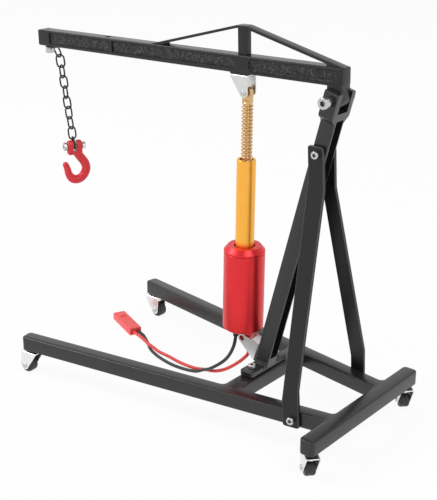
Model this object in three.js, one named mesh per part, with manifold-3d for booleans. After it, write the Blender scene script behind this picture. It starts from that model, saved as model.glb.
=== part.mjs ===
import * as THREE from 'three';
import { mergeVertices } from 'three/addons/utils/BufferGeometryUtils.js';
import Module from 'manifold-3d';

// Small electric shop crane, in millimetres.
// +Z is up, the boom's tip points to -Y, and the origin is on the floor under the middle.

const wasm = await Module();
wasm.setup();

// Clearances
const fitGap = 0.25;
const seatGap = 0.15;
const overrun = 2;

// Base frame
const barDepth = 8;
const barEdge = 0.8;
const legWidth = 7.63;
const legRearSpread = 21.69;
const legFrontReach = 78.5;
const rearBarFront = 98.76;
const rearBarWidth = 8;
const rearBarHalfLength = 46.13;
const frontBarWidth = 9.3;
const legSplay = THREE.MathUtils.degToRad(9.16);
const frameCorner = 2.2;

// Casters
const wheelRadius = 4.2;
const wheelWidth = 5.3;
const wheelEdge = 1.1;
const axleRadius = 0.75;
const casterDrop = 8.6;
const washerThickness = 0.65;
const washerRadius = 3.1;
const casterScrewShank = 1;
const casterScrewHead = 1.9;
const casterScrewHeadHeight = 2.4;
const casterTurns = { frontNear: 3, frontFar: 178, rearNear: -42, rearFar: -46 };
const wheelSides = 18;
const frontSwivelSpread = 49.8;
const frontSwivelReach = 75.4;
const rearSwivelSpread = 42.3;

// Stamped brackets
const sheet = 0.6;
const bracketWidth = 7.2;
const bracketLength = 10.4;
const bracketBend = 0.9;
const earRadius = 2.3;
const rivetHeadRadius = 1.5;
const rivetHeadHeight = 0.7;

// Mast
const pivotRear = 82.3;
const pivotHeight = 167.1;
const mastLean = THREE.MathUtils.degToRad(14.8);
const mastWidth = 7.5;
const mastDepth = 8;
const mastEdge = 0.5;
const mastWall = 0.95;
const mastWeb = 2.4;
const forkWidth = 13.2;
const forkSlot = 7.8;
const forkTop = 4.5;
const forkBottom = 9.5;
const forkTaper = 3;
const forkFloor = 5.5;
const forkFloorThickness = 3.8;
const flangeHalfLength = 14.3;
const flangeWidth = 7.9;
const flangeThickness = 3;
const flangeScrewSpread = 10;
const footHeight = 5;
const footFlare = 1.9;
const footDepth = 6.6;

// Braces
const braceThickness = 1.7;
const braceWidth = 8.8;
const braceFootRear = 82.55;
const braceTopHeight = 144.2;
const braceLowerBend = 30.2;
const braceUpperBend = 124.6;
const braceBendSkewLow = 6.5;
const braceBendSkewHigh = -6.9;
const braceCorner = 2.2;
const braceFootScrewRise = 3.15;
const braceTopScrewDrop = 3.5;

// Small socket screws
const smallHead = 1.9;
const smallHeadHeight = 2;
const smallShank = 1;
const headChamfer = 0.3;

// Boom, measured forward and upward from its pivot
const boomDroop = THREE.MathUtils.degToRad(1.485);
const boomWidth = 7.4;
const boomBottom = 6.5;
const boomHeight = 8;
const boomTail = 3.8;
const boomReach = 190.7;
const boomEdge = 0.4;
const tipBlock = 9.2;
const frontPocketStart = 56;
const ribStart = 135.7;
const ribWidth = 2.8;
const rearPocketStart = -1.5;
const rearPocketEnd = 48;
const pocketDepth = 0.7;
const pocketTopLip = 1.1;
const pocketBottomLip = 1.6;
const pocketCorner = 0.5;
const postFront = 53.4;
const postWidth = 7.1;
const trussRise = 13.8;
const trussFront = 107.6;
const trussWedge = 12.2;
const trussTailWedge = 8.8;
const strapThickness = 1.24;
const padStart = 47.5;
const padLength = 11.2;
const padThickness = 0.9;
const lugRadius = 3.85;
const liftHoleForward = 141.5;
const liftHoleRadius = 1.55;

// Boom pivot screw
const pivotShank = 1.5;
const pivotHead = 2.75;
const pivotHeadHeight = 2.9;
const pivotNutHeight = 2.4;

// Actuator, measured upward along its axis from the lower pivot's level
const upperPinForward = 50.9;
const actuatorFootRear = 30.2;
const lowerPinHeight = 35.6;
const lowerPinBehind = 2.1;
const lowerClevisDrop = 10.4;
const housingRadius = 10.4;
const housingWall = 1.3;
const housingBottom = 4.5;
const housingFloor = 2.5;
const housingRounding = 1.5;
const housingTop = 46.1;
const capLip = 1;
const capChamferHeight = 2.3;
const capChamferWidth = 1.95;
const capHoleRadius = 5.3;
const capSpigot = 3;
const lugWidth = 5.4;
const lugReach = 5.9;
const trunnionRadius = 1.2;
const tubeRadius = 4.73;
const tubeBore = 3.45;
const tubeTop = 94;
const tubeBottom = 31.5;
const nutHeight = 4;
const nutRecess = 0.6;
const nutNotch = 1;
const screwRadius = 2.85;
const screwTop = 123.1;
const screwBottom = 58;
const tongueThickness = 2.6;
const tongueWidth = 4.8;
const tongueEye = 2.3;
const upperPinRadius = 1;
const motorRadius = 6;
const motorHeight = 10.4;
const gearboxRadius = 7.4;
const gearboxHeight = 8.6;
const shaftRadius = 1.5;
const shaftLength = 4.6;
const bearingRadius = 7.6;
const bearingHeight = 1.6;
const grommetRadius = 3.4;
const grommetAhead = 3.9;

// Chain
const chainForward = 186;
const chainHeading = THREE.MathUtils.degToRad(128.87);
const wireRadius = 0.4;
const linkWidth = 5.3;
const chainPitch = 5.83;
const ringHeading = THREE.MathUtils.degToRad(65);
const ringLean = THREE.MathUtils.degToRad(10);
const ringHeight = 166.3;
const firstLeanDegrees = 22;
const lastLeanDegrees = 7;
const chainLeanDegrees = 6.47;
const hangingTwists = [66, -8, 68, -20, 72, -25, 52, -46, 35, 110];
const chainScrewHead = 2.3;
const chainScrewHeadHeight = 2.1;
const chainScrewDrop = 2.45;

// Hook
const hookTurn = THREE.MathUtils.degToRad(20);
const hookRodRadius = 2.5;
const earSpan = 8.4;
const earSlot = 2.1;
const earRise = 3.4;
const earHalfDepth = 2.6;
const earFloor = 3.2;
const earSink = 5;
const hookBoltRadius = 1;
const hookBoltHead = 2.3;
const hookBoltHeadHeight = 1.9;
const hookNutHeight = 1.7;

// Wires
const cordRadius = 0.9;
const sleeveRadius = 1.35;
const sleeveLength = 5.5;
const connectorLength = 25.4;
const connectorWidth = 7.4;
const connectorHeight = 4.4;
const connectorCorner = 0.6;
const connectorRecess = 1.6;
const connectorWall = 1;
const connectorPlace = new THREE.Vector2(-25.3, -76);
const connectorHeading = THREE.MathUtils.degToRad(-24.5);

// Sizes that follow from the ones above
const washerTop = wheelRadius + casterDrop + seatGap + washerThickness;
const frameTop = washerTop + barDepth;
const rearBarRear = rearBarFront + rearBarWidth;
const mastFootRear = pivotRear - (pivotHeight - frameTop) * Math.tan(mastLean);
const frontBarFront = mastFootRear - frontBarWidth * 0.45;
const frontBarRear = frontBarFront + frontBarWidth;
const bracketHalf = bracketWidth / 2;
const linkLength = chainPitch + 4 * wireRadius + fitGap;
const barMiddle = frameTop - barDepth / 2;
const upperPinLevel = boomBottom - padThickness - seatGap - casterDrop;

const axisX = new THREE.Vector3(1, 0, 0);
const axisY = new THREE.Vector3(0, 1, 0);
const axisZ = new THREE.Vector3(0, 0, 1);
const sideways = new THREE.Matrix4().makeBasis(axisY, axisZ, axisX);
const forwards = new THREE.Matrix4().makeBasis(axisY.clone().negate(), axisZ, axisX.clone().negate());
const facing = new THREE.Matrix4().makeBasis(axisX, axisZ, axisY.clone().negate());

// The actuator's axis runs from its foot to the upper pin.
const upperPin = new THREE.Vector3(0, -upperPinForward, upperPinLevel)
  .applyAxisAngle(axisX, boomDroop)
  .add(new THREE.Vector3(0, pivotRear, pivotHeight));
const actuatorLean = Math.atan2(upperPin.y - actuatorFootRear, upperPin.z - lowerPinHeight);
const actuatorLength = Math.hypot(upperPin.y - actuatorFootRear, upperPin.z - lowerPinHeight);

// Materials
const paint = { color: 0x1a1a1c, roughness: 0.3, metalness: 0.1 };
const darkPaint = { color: 0x121214, roughness: 0.35, metalness: 0.1 };
const zinc = { color: 0xd2d3d5, roughness: 0.3, metalness: 1 };
const redAnodised = { color: 0xc4161c, roughness: 0.3, metalness: 0.5 };
const goldAnodised = { color: 0xe8a02c, roughness: 0.28, metalness: 0.9 };
const brass = { color: 0xc79a55, roughness: 0.3, metalness: 1 };
const tyre = { color: 0x1c1c1c, roughness: 0.6, metalness: 0 };
const redPaint = { color: 0xc8141e, roughness: 0.4, metalness: 0 };
const redPlastic = { color: 0xe8383a, roughness: 0.45, metalness: 0 };
const blackPlastic = { color: 0x202020, roughness: 0.5, metalness: 0 };

// A welded copy without flat triangles, ready for cuts and joins.
function welded(geometry) {
  const bare = geometry.clone();
  bare.deleteAttribute('normal');
  bare.deleteAttribute('uv');
  const merged = mergeVertices(bare);
  const corners = [];
  for (let i = 0; i < merged.index.count; i += 3) {
    const [a, b, c] = [0, 1, 2].map((k) => merged.index.getX(i + k));
    if (a !== b && b !== c && c !== a) corners.push(a, b, c);
  }
  merged.setIndex(corners);
  return merged;
}

function solid(geometry) {
  const merged = welded(geometry);
  return new wasm.Manifold(new wasm.Mesh({
    numProp: 3,
    vertProperties: new Float32Array(merged.attributes.position.array),
    triVerts: new Uint32Array(merged.index.array),
  }));
}

function surface(manifold) {
  const { vertProperties, triVerts } = manifold.getMesh();
  const geometry = new THREE.BufferGeometry();
  geometry.setAttribute('position', new THREE.BufferAttribute(vertProperties, 3));
  geometry.setIndex(new THREE.BufferAttribute(triVerts, 1));
  geometry.computeVertexNormals();
  return geometry;
}

function joined(...geometries) {
  return geometries.map(solid).reduce((whole, piece) => whole.add(piece));
}

function cut(body, ...cutters) {
  return cutters.map(solid).reduce((rest, cutter) => rest.subtract(cutter), body);
}

function piece(name, form, look) {
  const geometry = form.isBufferGeometry ? form : surface(form);
  const mesh = new THREE.Mesh(geometry, new THREE.MeshStandardMaterial(look));
  mesh.name = name;
  return mesh;
}

// A closed outline through [x, y, radius] corners, with each radius as a short arc.
function outline(corners, steps = 2) {
  const points = [];
  corners.forEach(([x, y, radius = 0], i) => {
    const here = new THREE.Vector2(x, y);
    if (!radius) {
      points.push(here);
      return;
    }
    const before = new THREE.Vector2(...corners.at(i - 1)).sub(here).normalize();
    const after = new THREE.Vector2(...corners[(i + 1) % corners.length]).sub(here).normalize();
    const half = Math.acos(THREE.MathUtils.clamp(before.dot(after), -1, 1)) / 2;
    const middle = before.clone().add(after).normalize();
    const centre = here.clone().addScaledVector(middle, radius / Math.sin(half));
    const start = here.clone().addScaledVector(before, radius / Math.tan(half)).sub(centre);
    const end = here.clone().addScaledVector(after, radius / Math.tan(half)).sub(centre);
    let sweep = end.angle() - start.angle();
    if (sweep > Math.PI) sweep -= 2 * Math.PI;
    if (sweep < -Math.PI) sweep += 2 * Math.PI;
    for (let k = 0; k <= steps; k++) {
      const turn = start.clone().rotateAround(new THREE.Vector2(), (sweep * k) / steps);
      points.push(turn.add(centre));
    }
  });
  return points;
}

// A slab of the outline, centred on zero thickness, with rounded rims where edge is given.
function slab(points, thickness, edge = 0, holes = []) {
  const shape = new THREE.Shape(points);
  shape.holes = holes.map((hole) => new THREE.Path(hole));
  const geometry = new THREE.ExtrudeGeometry(shape, {
    depth: thickness - 2 * edge,
    steps: 1,
    bevelEnabled: edge > 0,
    bevelThickness: edge,
    bevelSize: edge,
    bevelOffset: -edge,
    bevelSegments: 2,
  });
  return geometry.translate(0, 0, edge - thickness / 2);
}

// A rod centred on the origin, along the given axis.
function rod(radius, length, axis = 'z', sides = 16) {
  const geometry = new THREE.CylinderGeometry(radius, radius, length, sides);
  if (axis === 'x') geometry.rotateZ(-Math.PI / 2);
  if (axis === 'z') geometry.rotateX(Math.PI / 2);
  return geometry;
}

// A turned piece about Z from [radius, height] points.
function turned(points, sides = 16) {
  const profile = points.map(([radius, height]) => new THREE.Vector2(radius, height));
  return welded(new THREE.LatheGeometry(profile, sides).rotateX(Math.PI / 2));
}

function ring(outer, inner, bottom, top, sides = 16) {
  return turned([[inner, bottom], [outer, bottom], [outer, top], [inner, top], [inner, bottom]], sides);
}

// The profile of a rounded lower rim that ends at the given radius.
function quarterRound(radius, size, base, steps) {
  return Array.from({ length: steps + 1 }, (_, k) => {
    const angle = (k / steps) * (Math.PI / 2);
    return [radius - size + size * Math.sin(angle), base + size - size * Math.cos(angle)];
  });
}

// A cap screw with its seat at zero and its head upward.
function capScrew(head, headHeight, shank, length, sides = 12) {
  return turned([
    [0, -length], [shank, -length], [shank, 0], [head, 0],
    [head, headHeight - headChamfer], [head - headChamfer, headHeight], [0, headHeight],
  ], sides);
}

// A rivet along X, its domed heads peened onto the ears of a bracket.
function rivet(shank) {
  const half = bracketHalf - sheet / 2;
  const rim = [[rivetHeadRadius, half], [rivetHeadRadius, bracketHalf], [rivetHeadRadius * 0.75, bracketHalf + rivetHeadHeight * 0.8]];
  const crown = [0, bracketHalf + rivetHeadHeight];
  const side = [[shank, half], ...rim, crown];
  const mirrored = side.map(([radius, height]) => [radius, -height]).reverse();
  return turned([...mirrored, ...side], 10).rotateY(Math.PI / 2);
}

// A stamped clevis: pin axis along X through the origin, mounting plate above, square edge at -Y.
function bracket(drop, screwRadius) {
  const foot = -earRadius - overrun;
  const channel = slab(outline([
    [-bracketHalf, foot], [-bracketHalf, drop, bracketBend], [bracketHalf, drop, bracketBend],
    [bracketHalf, foot], [bracketHalf - sheet, foot],
    [bracketHalf - sheet, drop - sheet, bracketBend - sheet],
    [sheet - bracketHalf, drop - sheet, bracketBend - sheet], [sheet - bracketHalf, foot],
  ].reverse()), 3 * bracketLength).applyMatrix4(facing);
  const far = bracketLength - earRadius;
  const tangent = Math.atan2(drop, far) - Math.acos(earRadius / Math.hypot(drop, far));
  const side = [new THREE.Vector2(far, drop), new THREE.Vector2(far, drop + overrun),
    new THREE.Vector2(-earRadius, drop + overrun)];
  const steps = 5;
  for (let i = 0; i <= steps; i++) {
    const angle = Math.PI + ((tangent + Math.PI) * i) / steps;
    side.push(new THREE.Vector2(earRadius * Math.cos(angle), earRadius * Math.sin(angle)));
  }
  const ears = solid(slab(side, bracketWidth + 2 * overrun).applyMatrix4(sideways));
  const screwHole = rod(screwRadius + fitGap, 2 * overrun, 'z', 14)
    .translate(0, bracketLength / 2 - earRadius, drop);
  return cut(solid(channel).intersect(ears), screwHole);
}

const plateMiddle = bracketLength / 2 - earRadius;

function legX(rear) {
  return legRearSpread + (rearBarFront - rear) * Math.tan(legSplay);
}

const legHalfAcross = legWidth / 2 / Math.cos(legSplay);
const alongLeg = new THREE.Vector2(Math.sin(legSplay), -Math.cos(legSplay));
const outOfLeg = new THREE.Vector2(Math.cos(legSplay), Math.sin(legSplay));

// Base frame: one casting with splayed legs and two bars
const frontSwivel = { x: frontSwivelSpread, y: -frontSwivelReach };
const rearSwivel = { x: rearSwivelSpread, y: (rearBarFront + rearBarRear) / 2 };
const casters = [
  { name: 'front_near', x: frontSwivel.x, y: frontSwivel.y, turn: casterTurns.frontNear },
  { name: 'front_far', x: -frontSwivel.x, y: frontSwivel.y, turn: casterTurns.frontFar },
  { name: 'rear_near', x: rearSwivel.x, y: rearSwivel.y, turn: casterTurns.rearNear },
  { name: 'rear_far', x: -rearSwivel.x, y: rearSwivel.y, turn: casterTurns.rearFar },
];

const mastMatrix = new THREE.Matrix4()
  .makeRotationX(-mastLean)
  .setPosition(0, pivotRear, pivotHeight);
const intoMast = mastMatrix.clone().invert();
const footScrewPlaces = [-1, 1].map((side) => ({ x: side * flangeScrewSpread, y: mastFootRear }));

// Both leg screws of a brace stand square to the leg's splayed side.
function legScrewMatrix(side) {
  const y = braceFootRear;
  const place = new THREE.Vector3(side * (legX(y) + legHalfAcross), y, washerTop + braceFootScrewRise);
  const outward = new THREE.Vector3(side * outOfLeg.x, outOfLeg.y, 0);
  return new THREE.Matrix4()
    .makeBasis(axisZ.clone().cross(outward), axisZ, outward)
    .setPosition(place);
}

function baseFrame() {
  const end = new THREE.Vector2(legX(-legFrontReach), -legFrontReach);
  const inner = end.clone().addScaledVector(outOfLeg, -legWidth / 2);
  const outer = end.clone().addScaledVector(outOfLeg, legWidth / 2);
  const rightHalf = [
    [legX(frontBarFront) - legHalfAcross, frontBarFront, frameCorner],
    [inner.x, inner.y, frameCorner],
    [outer.x, outer.y, frameCorner],
    [legX(rearBarFront) + legHalfAcross, rearBarFront, frameCorner],
    [rearBarHalfLength, rearBarFront, frameCorner],
    [rearBarHalfLength, rearBarRear, frameCorner],
  ];
  const leftHalf = rightHalf.map(([x, y, radius]) => [-x, y, radius]).reverse();
  const bay = [
    [legX(frontBarRear) - legHalfAcross, frontBarRear, frameCorner],
    [legX(rearBarFront) - legHalfAcross, rearBarFront, frameCorner],
  ];
  const bayLeft = bay.map(([x, y, radius]) => [-x, y, radius]).reverse();
  const plan = slab(outline([...rightHalf, ...leftHalf]), barDepth, barEdge, [outline([...bay, ...bayLeft])]);
  const casterBores = casters.map(({ x, y }) => rod(casterScrewShank + fitGap, 2 * barDepth * 0.7, 'z', 12)
    .translate(x, y, washerTop));
  const footBores = footScrewPlaces.map(({ x, y }) => rod(smallShank + fitGap, 2 * barDepth * 0.7, 'z', 12)
    .translate(x, y, frameTop));
  const braceBores = [-1, 1].map((side) => rod(smallShank + fitGap, legWidth, 'z', 12)
    .applyMatrix4(legScrewMatrix(side)));
  return cut(solid(plan.translate(0, 0, barMiddle)), ...casterBores, ...footBores, ...braceBores);
}

// Mast, built about its pivot with its own axis upright
function mast() {
  const length = (pivotHeight - frameTop) / Math.cos(mastLean) + overrun;
  const half = mastWidth / 2;
  const forkHalf = forkWidth / 2;
  const front = outline([
    [half, -length], [half, -forkBottom - forkTaper], [forkHalf, -forkBottom], [forkHalf, forkTop],
    [-forkHalf, forkTop], [-forkHalf, -forkBottom], [-half, -forkBottom - forkTaper], [-half, -length],
  ]);
  const body = slab(front, mastDepth, mastEdge).applyMatrix4(facing);
  const slotHeight = forkTop + forkFloor + overrun;
  const slot = new THREE.BoxGeometry(forkSlot, 2 * mastDepth, slotHeight)
    .translate(0, 0, slotHeight / 2 - forkFloor);
  const grooveTop = -forkFloor - forkFloorThickness;
  const grooveBottom = -(pivotHeight - frameTop - flangeThickness - footHeight) / Math.cos(mastLean);
  const grooveHalf = mastWidth / 2 - mastWall;
  const groove = slab(outline([
    [-grooveHalf, grooveBottom, mastWall], [grooveHalf, grooveBottom, mastWall],
    [grooveHalf, grooveTop], [-grooveHalf, grooveTop],
  ]), mastDepth).applyMatrix4(facing).translate(0, mastWeb, 0);
  const flangeBottom = frameTop + seatGap;
  const flange = slab(outline([
    [-flangeHalfLength, -flangeWidth / 2, flangeWidth * 0.42], [flangeHalfLength, -flangeWidth / 2, flangeWidth * 0.42],
    [flangeHalfLength, flangeWidth / 2, flangeWidth * 0.42], [-flangeHalfLength, flangeWidth / 2, flangeWidth * 0.42],
  ]), flangeThickness, mastEdge).translate(0, mastFootRear, flangeBottom + flangeThickness / 2)
    .applyMatrix4(intoMast);
  const foot = taperedBlock(
    [mastWidth + 2 * footFlare, footDepth], [mastWidth - mastEdge, footDepth], footHeight,
    Math.tan(mastLean) * footHeight)
    .translate(0, mastFootRear + Math.tan(mastLean) * flangeThickness, flangeBottom + flangeThickness / 2)
    .applyMatrix4(intoMast);
  const floorCut = new THREE.BoxGeometry(2 * forkWidth, 4 * mastDepth, mastDepth)
    .translate(0, mastFootRear, flangeBottom + (flangeThickness - mastDepth) / 2)
    .applyMatrix4(intoMast);
  const flangeBores = footScrewPlaces.map(({ x, y }) => rod(smallShank + fitGap, 4 * flangeThickness, 'z', 12)
    .translate(x, y, frameTop).applyMatrix4(intoMast));
  const pivotBore = rod(pivotShank + fitGap, 2 * forkWidth, 'x', 18);
  const braceBore = rod(smallShank + fitGap, 2 * mastWidth, 'x', 12)
    .translate(0, braceTopScrew.y, braceTopScrew.z)
    .applyMatrix4(intoMast);
  const clevisBore = rod(smallShank + fitGap, mastDepth, 'z', 12)
    .translate(0, 0, lowerClevisDrop)
    .applyMatrix4(new THREE.Matrix4().makeTranslation(0, plateMiddle, 0))
    .applyMatrix4(lowerClevisMatrix)
    .applyMatrix4(intoMast);
  const trimmed = cut(solid(body), slot, groove, floorCut);
  return cut(trimmed.add(solid(flange)).add(solid(foot)), pivotBore, braceBore, clevisBore, ...flangeBores);
}

// A block that narrows upward from one [x, y] section to another, its top shifted rearward.
function taperedBlock(bottom, top, height, shift) {
  const geometry = new THREE.BoxGeometry(1, 1, 1).translate(0, 0, 0.5);
  const position = geometry.attributes.position;
  for (let i = 0; i < position.count; i++) {
    const raised = position.getZ(i);
    const [width, depth] = raised ? top : bottom;
    position.setXYZ(i, position.getX(i) * width, position.getY(i) * depth + raised * shift, raised * height);
  }
  return geometry;
}

function mastRear(height) {
  return pivotRear - (pivotHeight - height) * Math.tan(mastLean);
}

// Braces: bent flat bars from the leg's outer side to the mast's cheek
const braceTopScrew = {
  y: mastRear(braceTopHeight - braceTopScrewDrop) - 0.1 * braceWidth,
  z: braceTopHeight - braceTopScrewDrop,
};

function brace(side) {
  const topRear = braceTopScrew.y + 0.08 * braceWidth;
  const stations = [
    { z: washerTop, skew: 0, atLeg: true },
    { z: braceLowerBend, skew: braceBendSkewLow, atLeg: true },
    { z: braceUpperBend, skew: braceBendSkewHigh, atLeg: false },
    { z: braceTopHeight, skew: 0, atLeg: false },
  ];
  const rearAt = (z) => THREE.MathUtils.mapLinear(z, washerTop, braceTopHeight, braceFootRear, topRear);
  const geometry = new THREE.BoxGeometry(1, 1, 1, 1, 1, stations.length - 1);
  const position = geometry.attributes.position;
  const corner = new THREE.Vector3();
  for (let i = 0; i < position.count; i++) {
    corner.fromBufferAttribute(position, i);
    const station = stations[Math.round((corner.z + 0.5) * (stations.length - 1))];
    const z = station.z + corner.y * station.skew;
    const y = rearAt(z) + corner.y * braceWidth * 1.1;
    const inner = (station.atLeg ? legX(y) + legHalfAcross : mastWidth / 2) + seatGap;
    const outward = corner.x * side > 0 ? braceThickness : 0;
    position.setXYZ(i, side * (inner + outward), y, z);
  }
  const half = braceWidth / 2;
  const shape = outline([
    [braceFootRear - half, washerTop], [braceFootRear + half, washerTop],
    [topRear + half, braceTopHeight, braceCorner], [topRear - half, braceTopHeight, braceCorner],
  ]);
  const trim = slab(shape, 8 * rearBarWidth).applyMatrix4(sideways).translate(side * 3 * rearBarWidth, 0, 0);
  const screwBore = rod(smallShank + fitGap, 4 * mastWidth, 'x', 12).translate(side * mastWidth, braceTopScrew.y, braceTopScrew.z);
  const footBore = rod(smallShank + fitGap, 4 * legWidth, 'z', 12).applyMatrix4(legScrewMatrix(side));
  return cut(solid(geometry).intersect(solid(trim)), screwBore, footBore);
}

// Boom, built about its pivot: outlines are [forward, up] from the pivot
function boom() {
  const top = boomBottom + boomHeight;
  const beam = slab(outline([
    [-boomTail, boomBottom], [boomReach, boomBottom], [boomReach, top], [-boomTail, top],
  ]), boomWidth, boomEdge).applyMatrix4(forwards);
  const postRear = postFront - postWidth;
  const peak = top + trussRise;
  const frontSlope = trussRise / (trussFront - postFront);
  const rearSlope = trussRise / (postRear + boomTail);
  const truss = slab(outline([
    [-boomTail, top - boomEdge], [trussFront, top - boomEdge], [trussFront, top],
    [postFront, peak], [postRear, peak], [-boomTail, top],
  ]), boomWidth).applyMatrix4(forwards);
  const frontEnd = trussFront - trussWedge;
  const rearEnd = trussTailWedge - boomTail;
  const openings = [
    [[postFront, top], [frontEnd, top], [frontEnd, top + trussWedge * frontSlope - strapThickness],
      [postFront, peak - strapThickness]],
    [[postRear, top], [postRear, peak - strapThickness],
      [rearEnd, top + trussTailWedge * rearSlope - strapThickness], [rearEnd, top]],
  ].map((corners) => slab(outline(corners), 2 * boomWidth).applyMatrix4(forwards));
  const lug = slab(outline([
    [-lugRadius, boomBottom + boomEdge], [-lugRadius, -lugRadius, lugRadius * 0.99],
    [lugRadius, -lugRadius, lugRadius * 0.99], [lugRadius, boomBottom + boomEdge],
  ], 6), boomWidth).applyMatrix4(forwards);
  const pad = slab(outline([
    [padStart, boomBottom - padThickness], [padStart + padLength, boomBottom - padThickness],
    [padStart + padLength, boomBottom + boomEdge], [padStart, boomBottom + boomEdge],
  ]), boomWidth).applyMatrix4(forwards);
  const pocketLow = boomBottom + pocketBottomLip;
  const pocketHigh = top - pocketTopLip;
  const roundEnd = (pocketHigh - pocketLow) * 0.48;
  const pocketSpans = [
    [frontPocketStart, ribStart, pocketCorner, 1],
    [ribStart + ribWidth, boomReach - tipBlock, pocketCorner, 1],
    [rearPocketStart, rearPocketEnd, roundEnd, 4],
  ];
  const pockets = pocketSpans.flatMap(([start, end, radius, steps]) => [-1, 1].map((side) => slab(outline([
    [start, pocketLow, radius], [end, pocketLow, radius], [end, pocketHigh, radius], [start, pocketHigh, radius],
  ], steps), 2 * pocketDepth).applyMatrix4(forwards).translate(side * boomWidth / 2, 0, 0)));
  const pivotBore = rod(pivotShank + fitGap, 2 * boomWidth, 'x', 18);
  const liftHole = rod(liftHoleRadius, 4 * boomHeight, 'z', 16).translate(0, -liftHoleForward, top);
  const chainBore = rod(smallShank + fitGap, boomHeight * 1.4, 'z', 12).translate(0, -chainForward, boomBottom);
  const clevisBore = rod(smallShank + fitGap, boomHeight * 1.4, 'z', 12)
    .translate(0, -upperPinForward - plateMiddle, boomBottom - padThickness);
  const body = solid(beam).add(solid(truss)).add(solid(lug)).add(solid(pad));
  return cut(body, ...openings, ...pockets, pivotBore, liftHole, chainBore, clevisBore);
}

const boomGroup = new THREE.Group();
boomGroup.position.set(0, pivotRear, pivotHeight);
boomGroup.rotation.x = boomDroop;
boomGroup.add(piece('boom', boom(), paint));

// Lower clevis on the mast's front face, pin towards the front
const lowerPinRear = actuatorFootRear + lowerPinBehind;
const lowerClevisMatrix = new THREE.Matrix4()
  .makeRotationX(-Math.PI / 2 - mastLean)
  .setPosition(0, lowerPinRear, lowerPinHeight);

// Pieces that hang on the boom: the upper clevis and its parts
const upperClevis = new THREE.Group();
upperClevis.position.set(0, -upperPinForward, upperPinLevel);
upperClevis.rotation.z = Math.PI;
const upperScrew = capScrew(smallHead, smallHeadHeight * 0.8, smallShank, boomHeight * 0.6)
  .rotateX(Math.PI)
  .translate(0, plateMiddle, casterDrop - sheet - seatGap);
// The upper pin is two peened stubs that stop short of the tongue, so that the closed linkage has play here.
const tongueRoom = new THREE.BoxGeometry(tongueThickness + 2 * fitGap, bracketLength, bracketLength);
const upperBracket = cut(bracket(casterDrop, smallShank).add(solid(rivet(upperPinRadius))), tongueRoom);
upperClevis.add(
  piece('upper_clevis', upperBracket, zinc),
  piece('upper_clevis_screw', upperScrew, zinc),
);
boomGroup.add(upperClevis);

// Boom pivot screw and nut, held by the fork
const pivotScrew = capScrew(pivotHead, pivotHeadHeight, pivotShank, forkWidth + pivotNutHeight + 2 * seatGap, 20)
  .rotateY(Math.PI / 2)
  .translate(forkWidth / 2 + seatGap, pivotRear, pivotHeight);
const pivotNut = ring(pivotHead * 1.1, pivotShank + fitGap, 0, pivotNutHeight, 6)
  .rotateY(-Math.PI / 2)
  .translate(-forkWidth / 2 - seatGap, pivotRear, pivotHeight);

// Actuator: built about its foot, upright along its own axis
const actuator = new THREE.Group();
actuator.position.set(0, actuatorFootRear, lowerPinHeight);
actuator.rotation.x = -actuatorLean;

function motorHousing() {
  const inner = housingRadius - housingWall;
  const floor = housingBottom + housingFloor;
  const rounding = quarterRound(housingRadius, housingRounding, housingBottom, 3);
  const cup = turned([
    [0, housingBottom], ...rounding, [housingRadius, housingTop], [inner, housingTop], [inner, floor], [0, floor],
  ], 30);
  const lug = slab(outline([
    [lowerPinBehind - earRadius, housingBottom + housingFloor / 2],
    [lowerPinBehind - earRadius, -earRadius, earRadius * 0.98],
    [lowerPinBehind + earRadius, -earRadius, earRadius * 0.98],
    [lowerPinBehind + lugReach, housingBottom], [lowerPinBehind + lugReach, housingBottom + housingFloor / 2],
  ], 4), lugWidth).applyMatrix4(sideways);
  const pinBore = rod(trunnionRadius + fitGap, 2 * lugWidth, 'x', 16).translate(0, lowerPinBehind, 0);
  const grommetBore = rod(grommetRadius / 2 + fitGap, 4 * housingFloor, 'z', 16)
    .translate(0, -grommetAhead, housingBottom);
  return cut(solid(cup).add(solid(lug)), pinBore, grommetBore);
}

function housingCap() {
  const inner = housingRadius - housingWall - fitGap;
  const bottom = housingTop + seatGap;
  const top = bottom + capLip + capChamferHeight;
  return turned([
    [capHoleRadius, bottom], [inner - housingWall, bottom], [inner - housingWall, bottom - capSpigot],
    [inner, bottom - capSpigot], [inner, bottom], [housingRadius, bottom],
    [housingRadius, bottom + capLip], [housingRadius - capChamferWidth, top],
    [capHoleRadius, top], [capHoleRadius, bottom],
  ], 30);
}

// The tube turns, and its notched nut drives the screw up and down.
function driveNut() {
  const outer = tubeBore - fitGap;
  const top = tubeTop - nutRecess;
  const body = ring(outer, screwRadius + fitGap / 2, top - nutHeight, top, 24);
  const notches = [0, 1].map((turn) => new THREE.BoxGeometry(nutNotch, 3 * outer, nutNotch)
    .rotateZ((turn * Math.PI) / 2).translate(0, 0, top));
  return cut(solid(body), ...notches);
}

function leadScrew() {
  const stem = rod(screwRadius, screwTop - screwBottom, 'z', 24).translate(0, 0, (screwTop + screwBottom) / 2);
  const neck = new THREE.BoxGeometry(tongueThickness, tongueWidth, actuatorLength - screwTop + overrun / 4)
    .translate(0, 0, (actuatorLength + screwTop - overrun / 4) / 2);
  const eye = rod(tongueEye, tongueThickness, 'x', 18).translate(0, 0, actuatorLength);
  return joined(stem, neck, eye);
}

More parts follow.
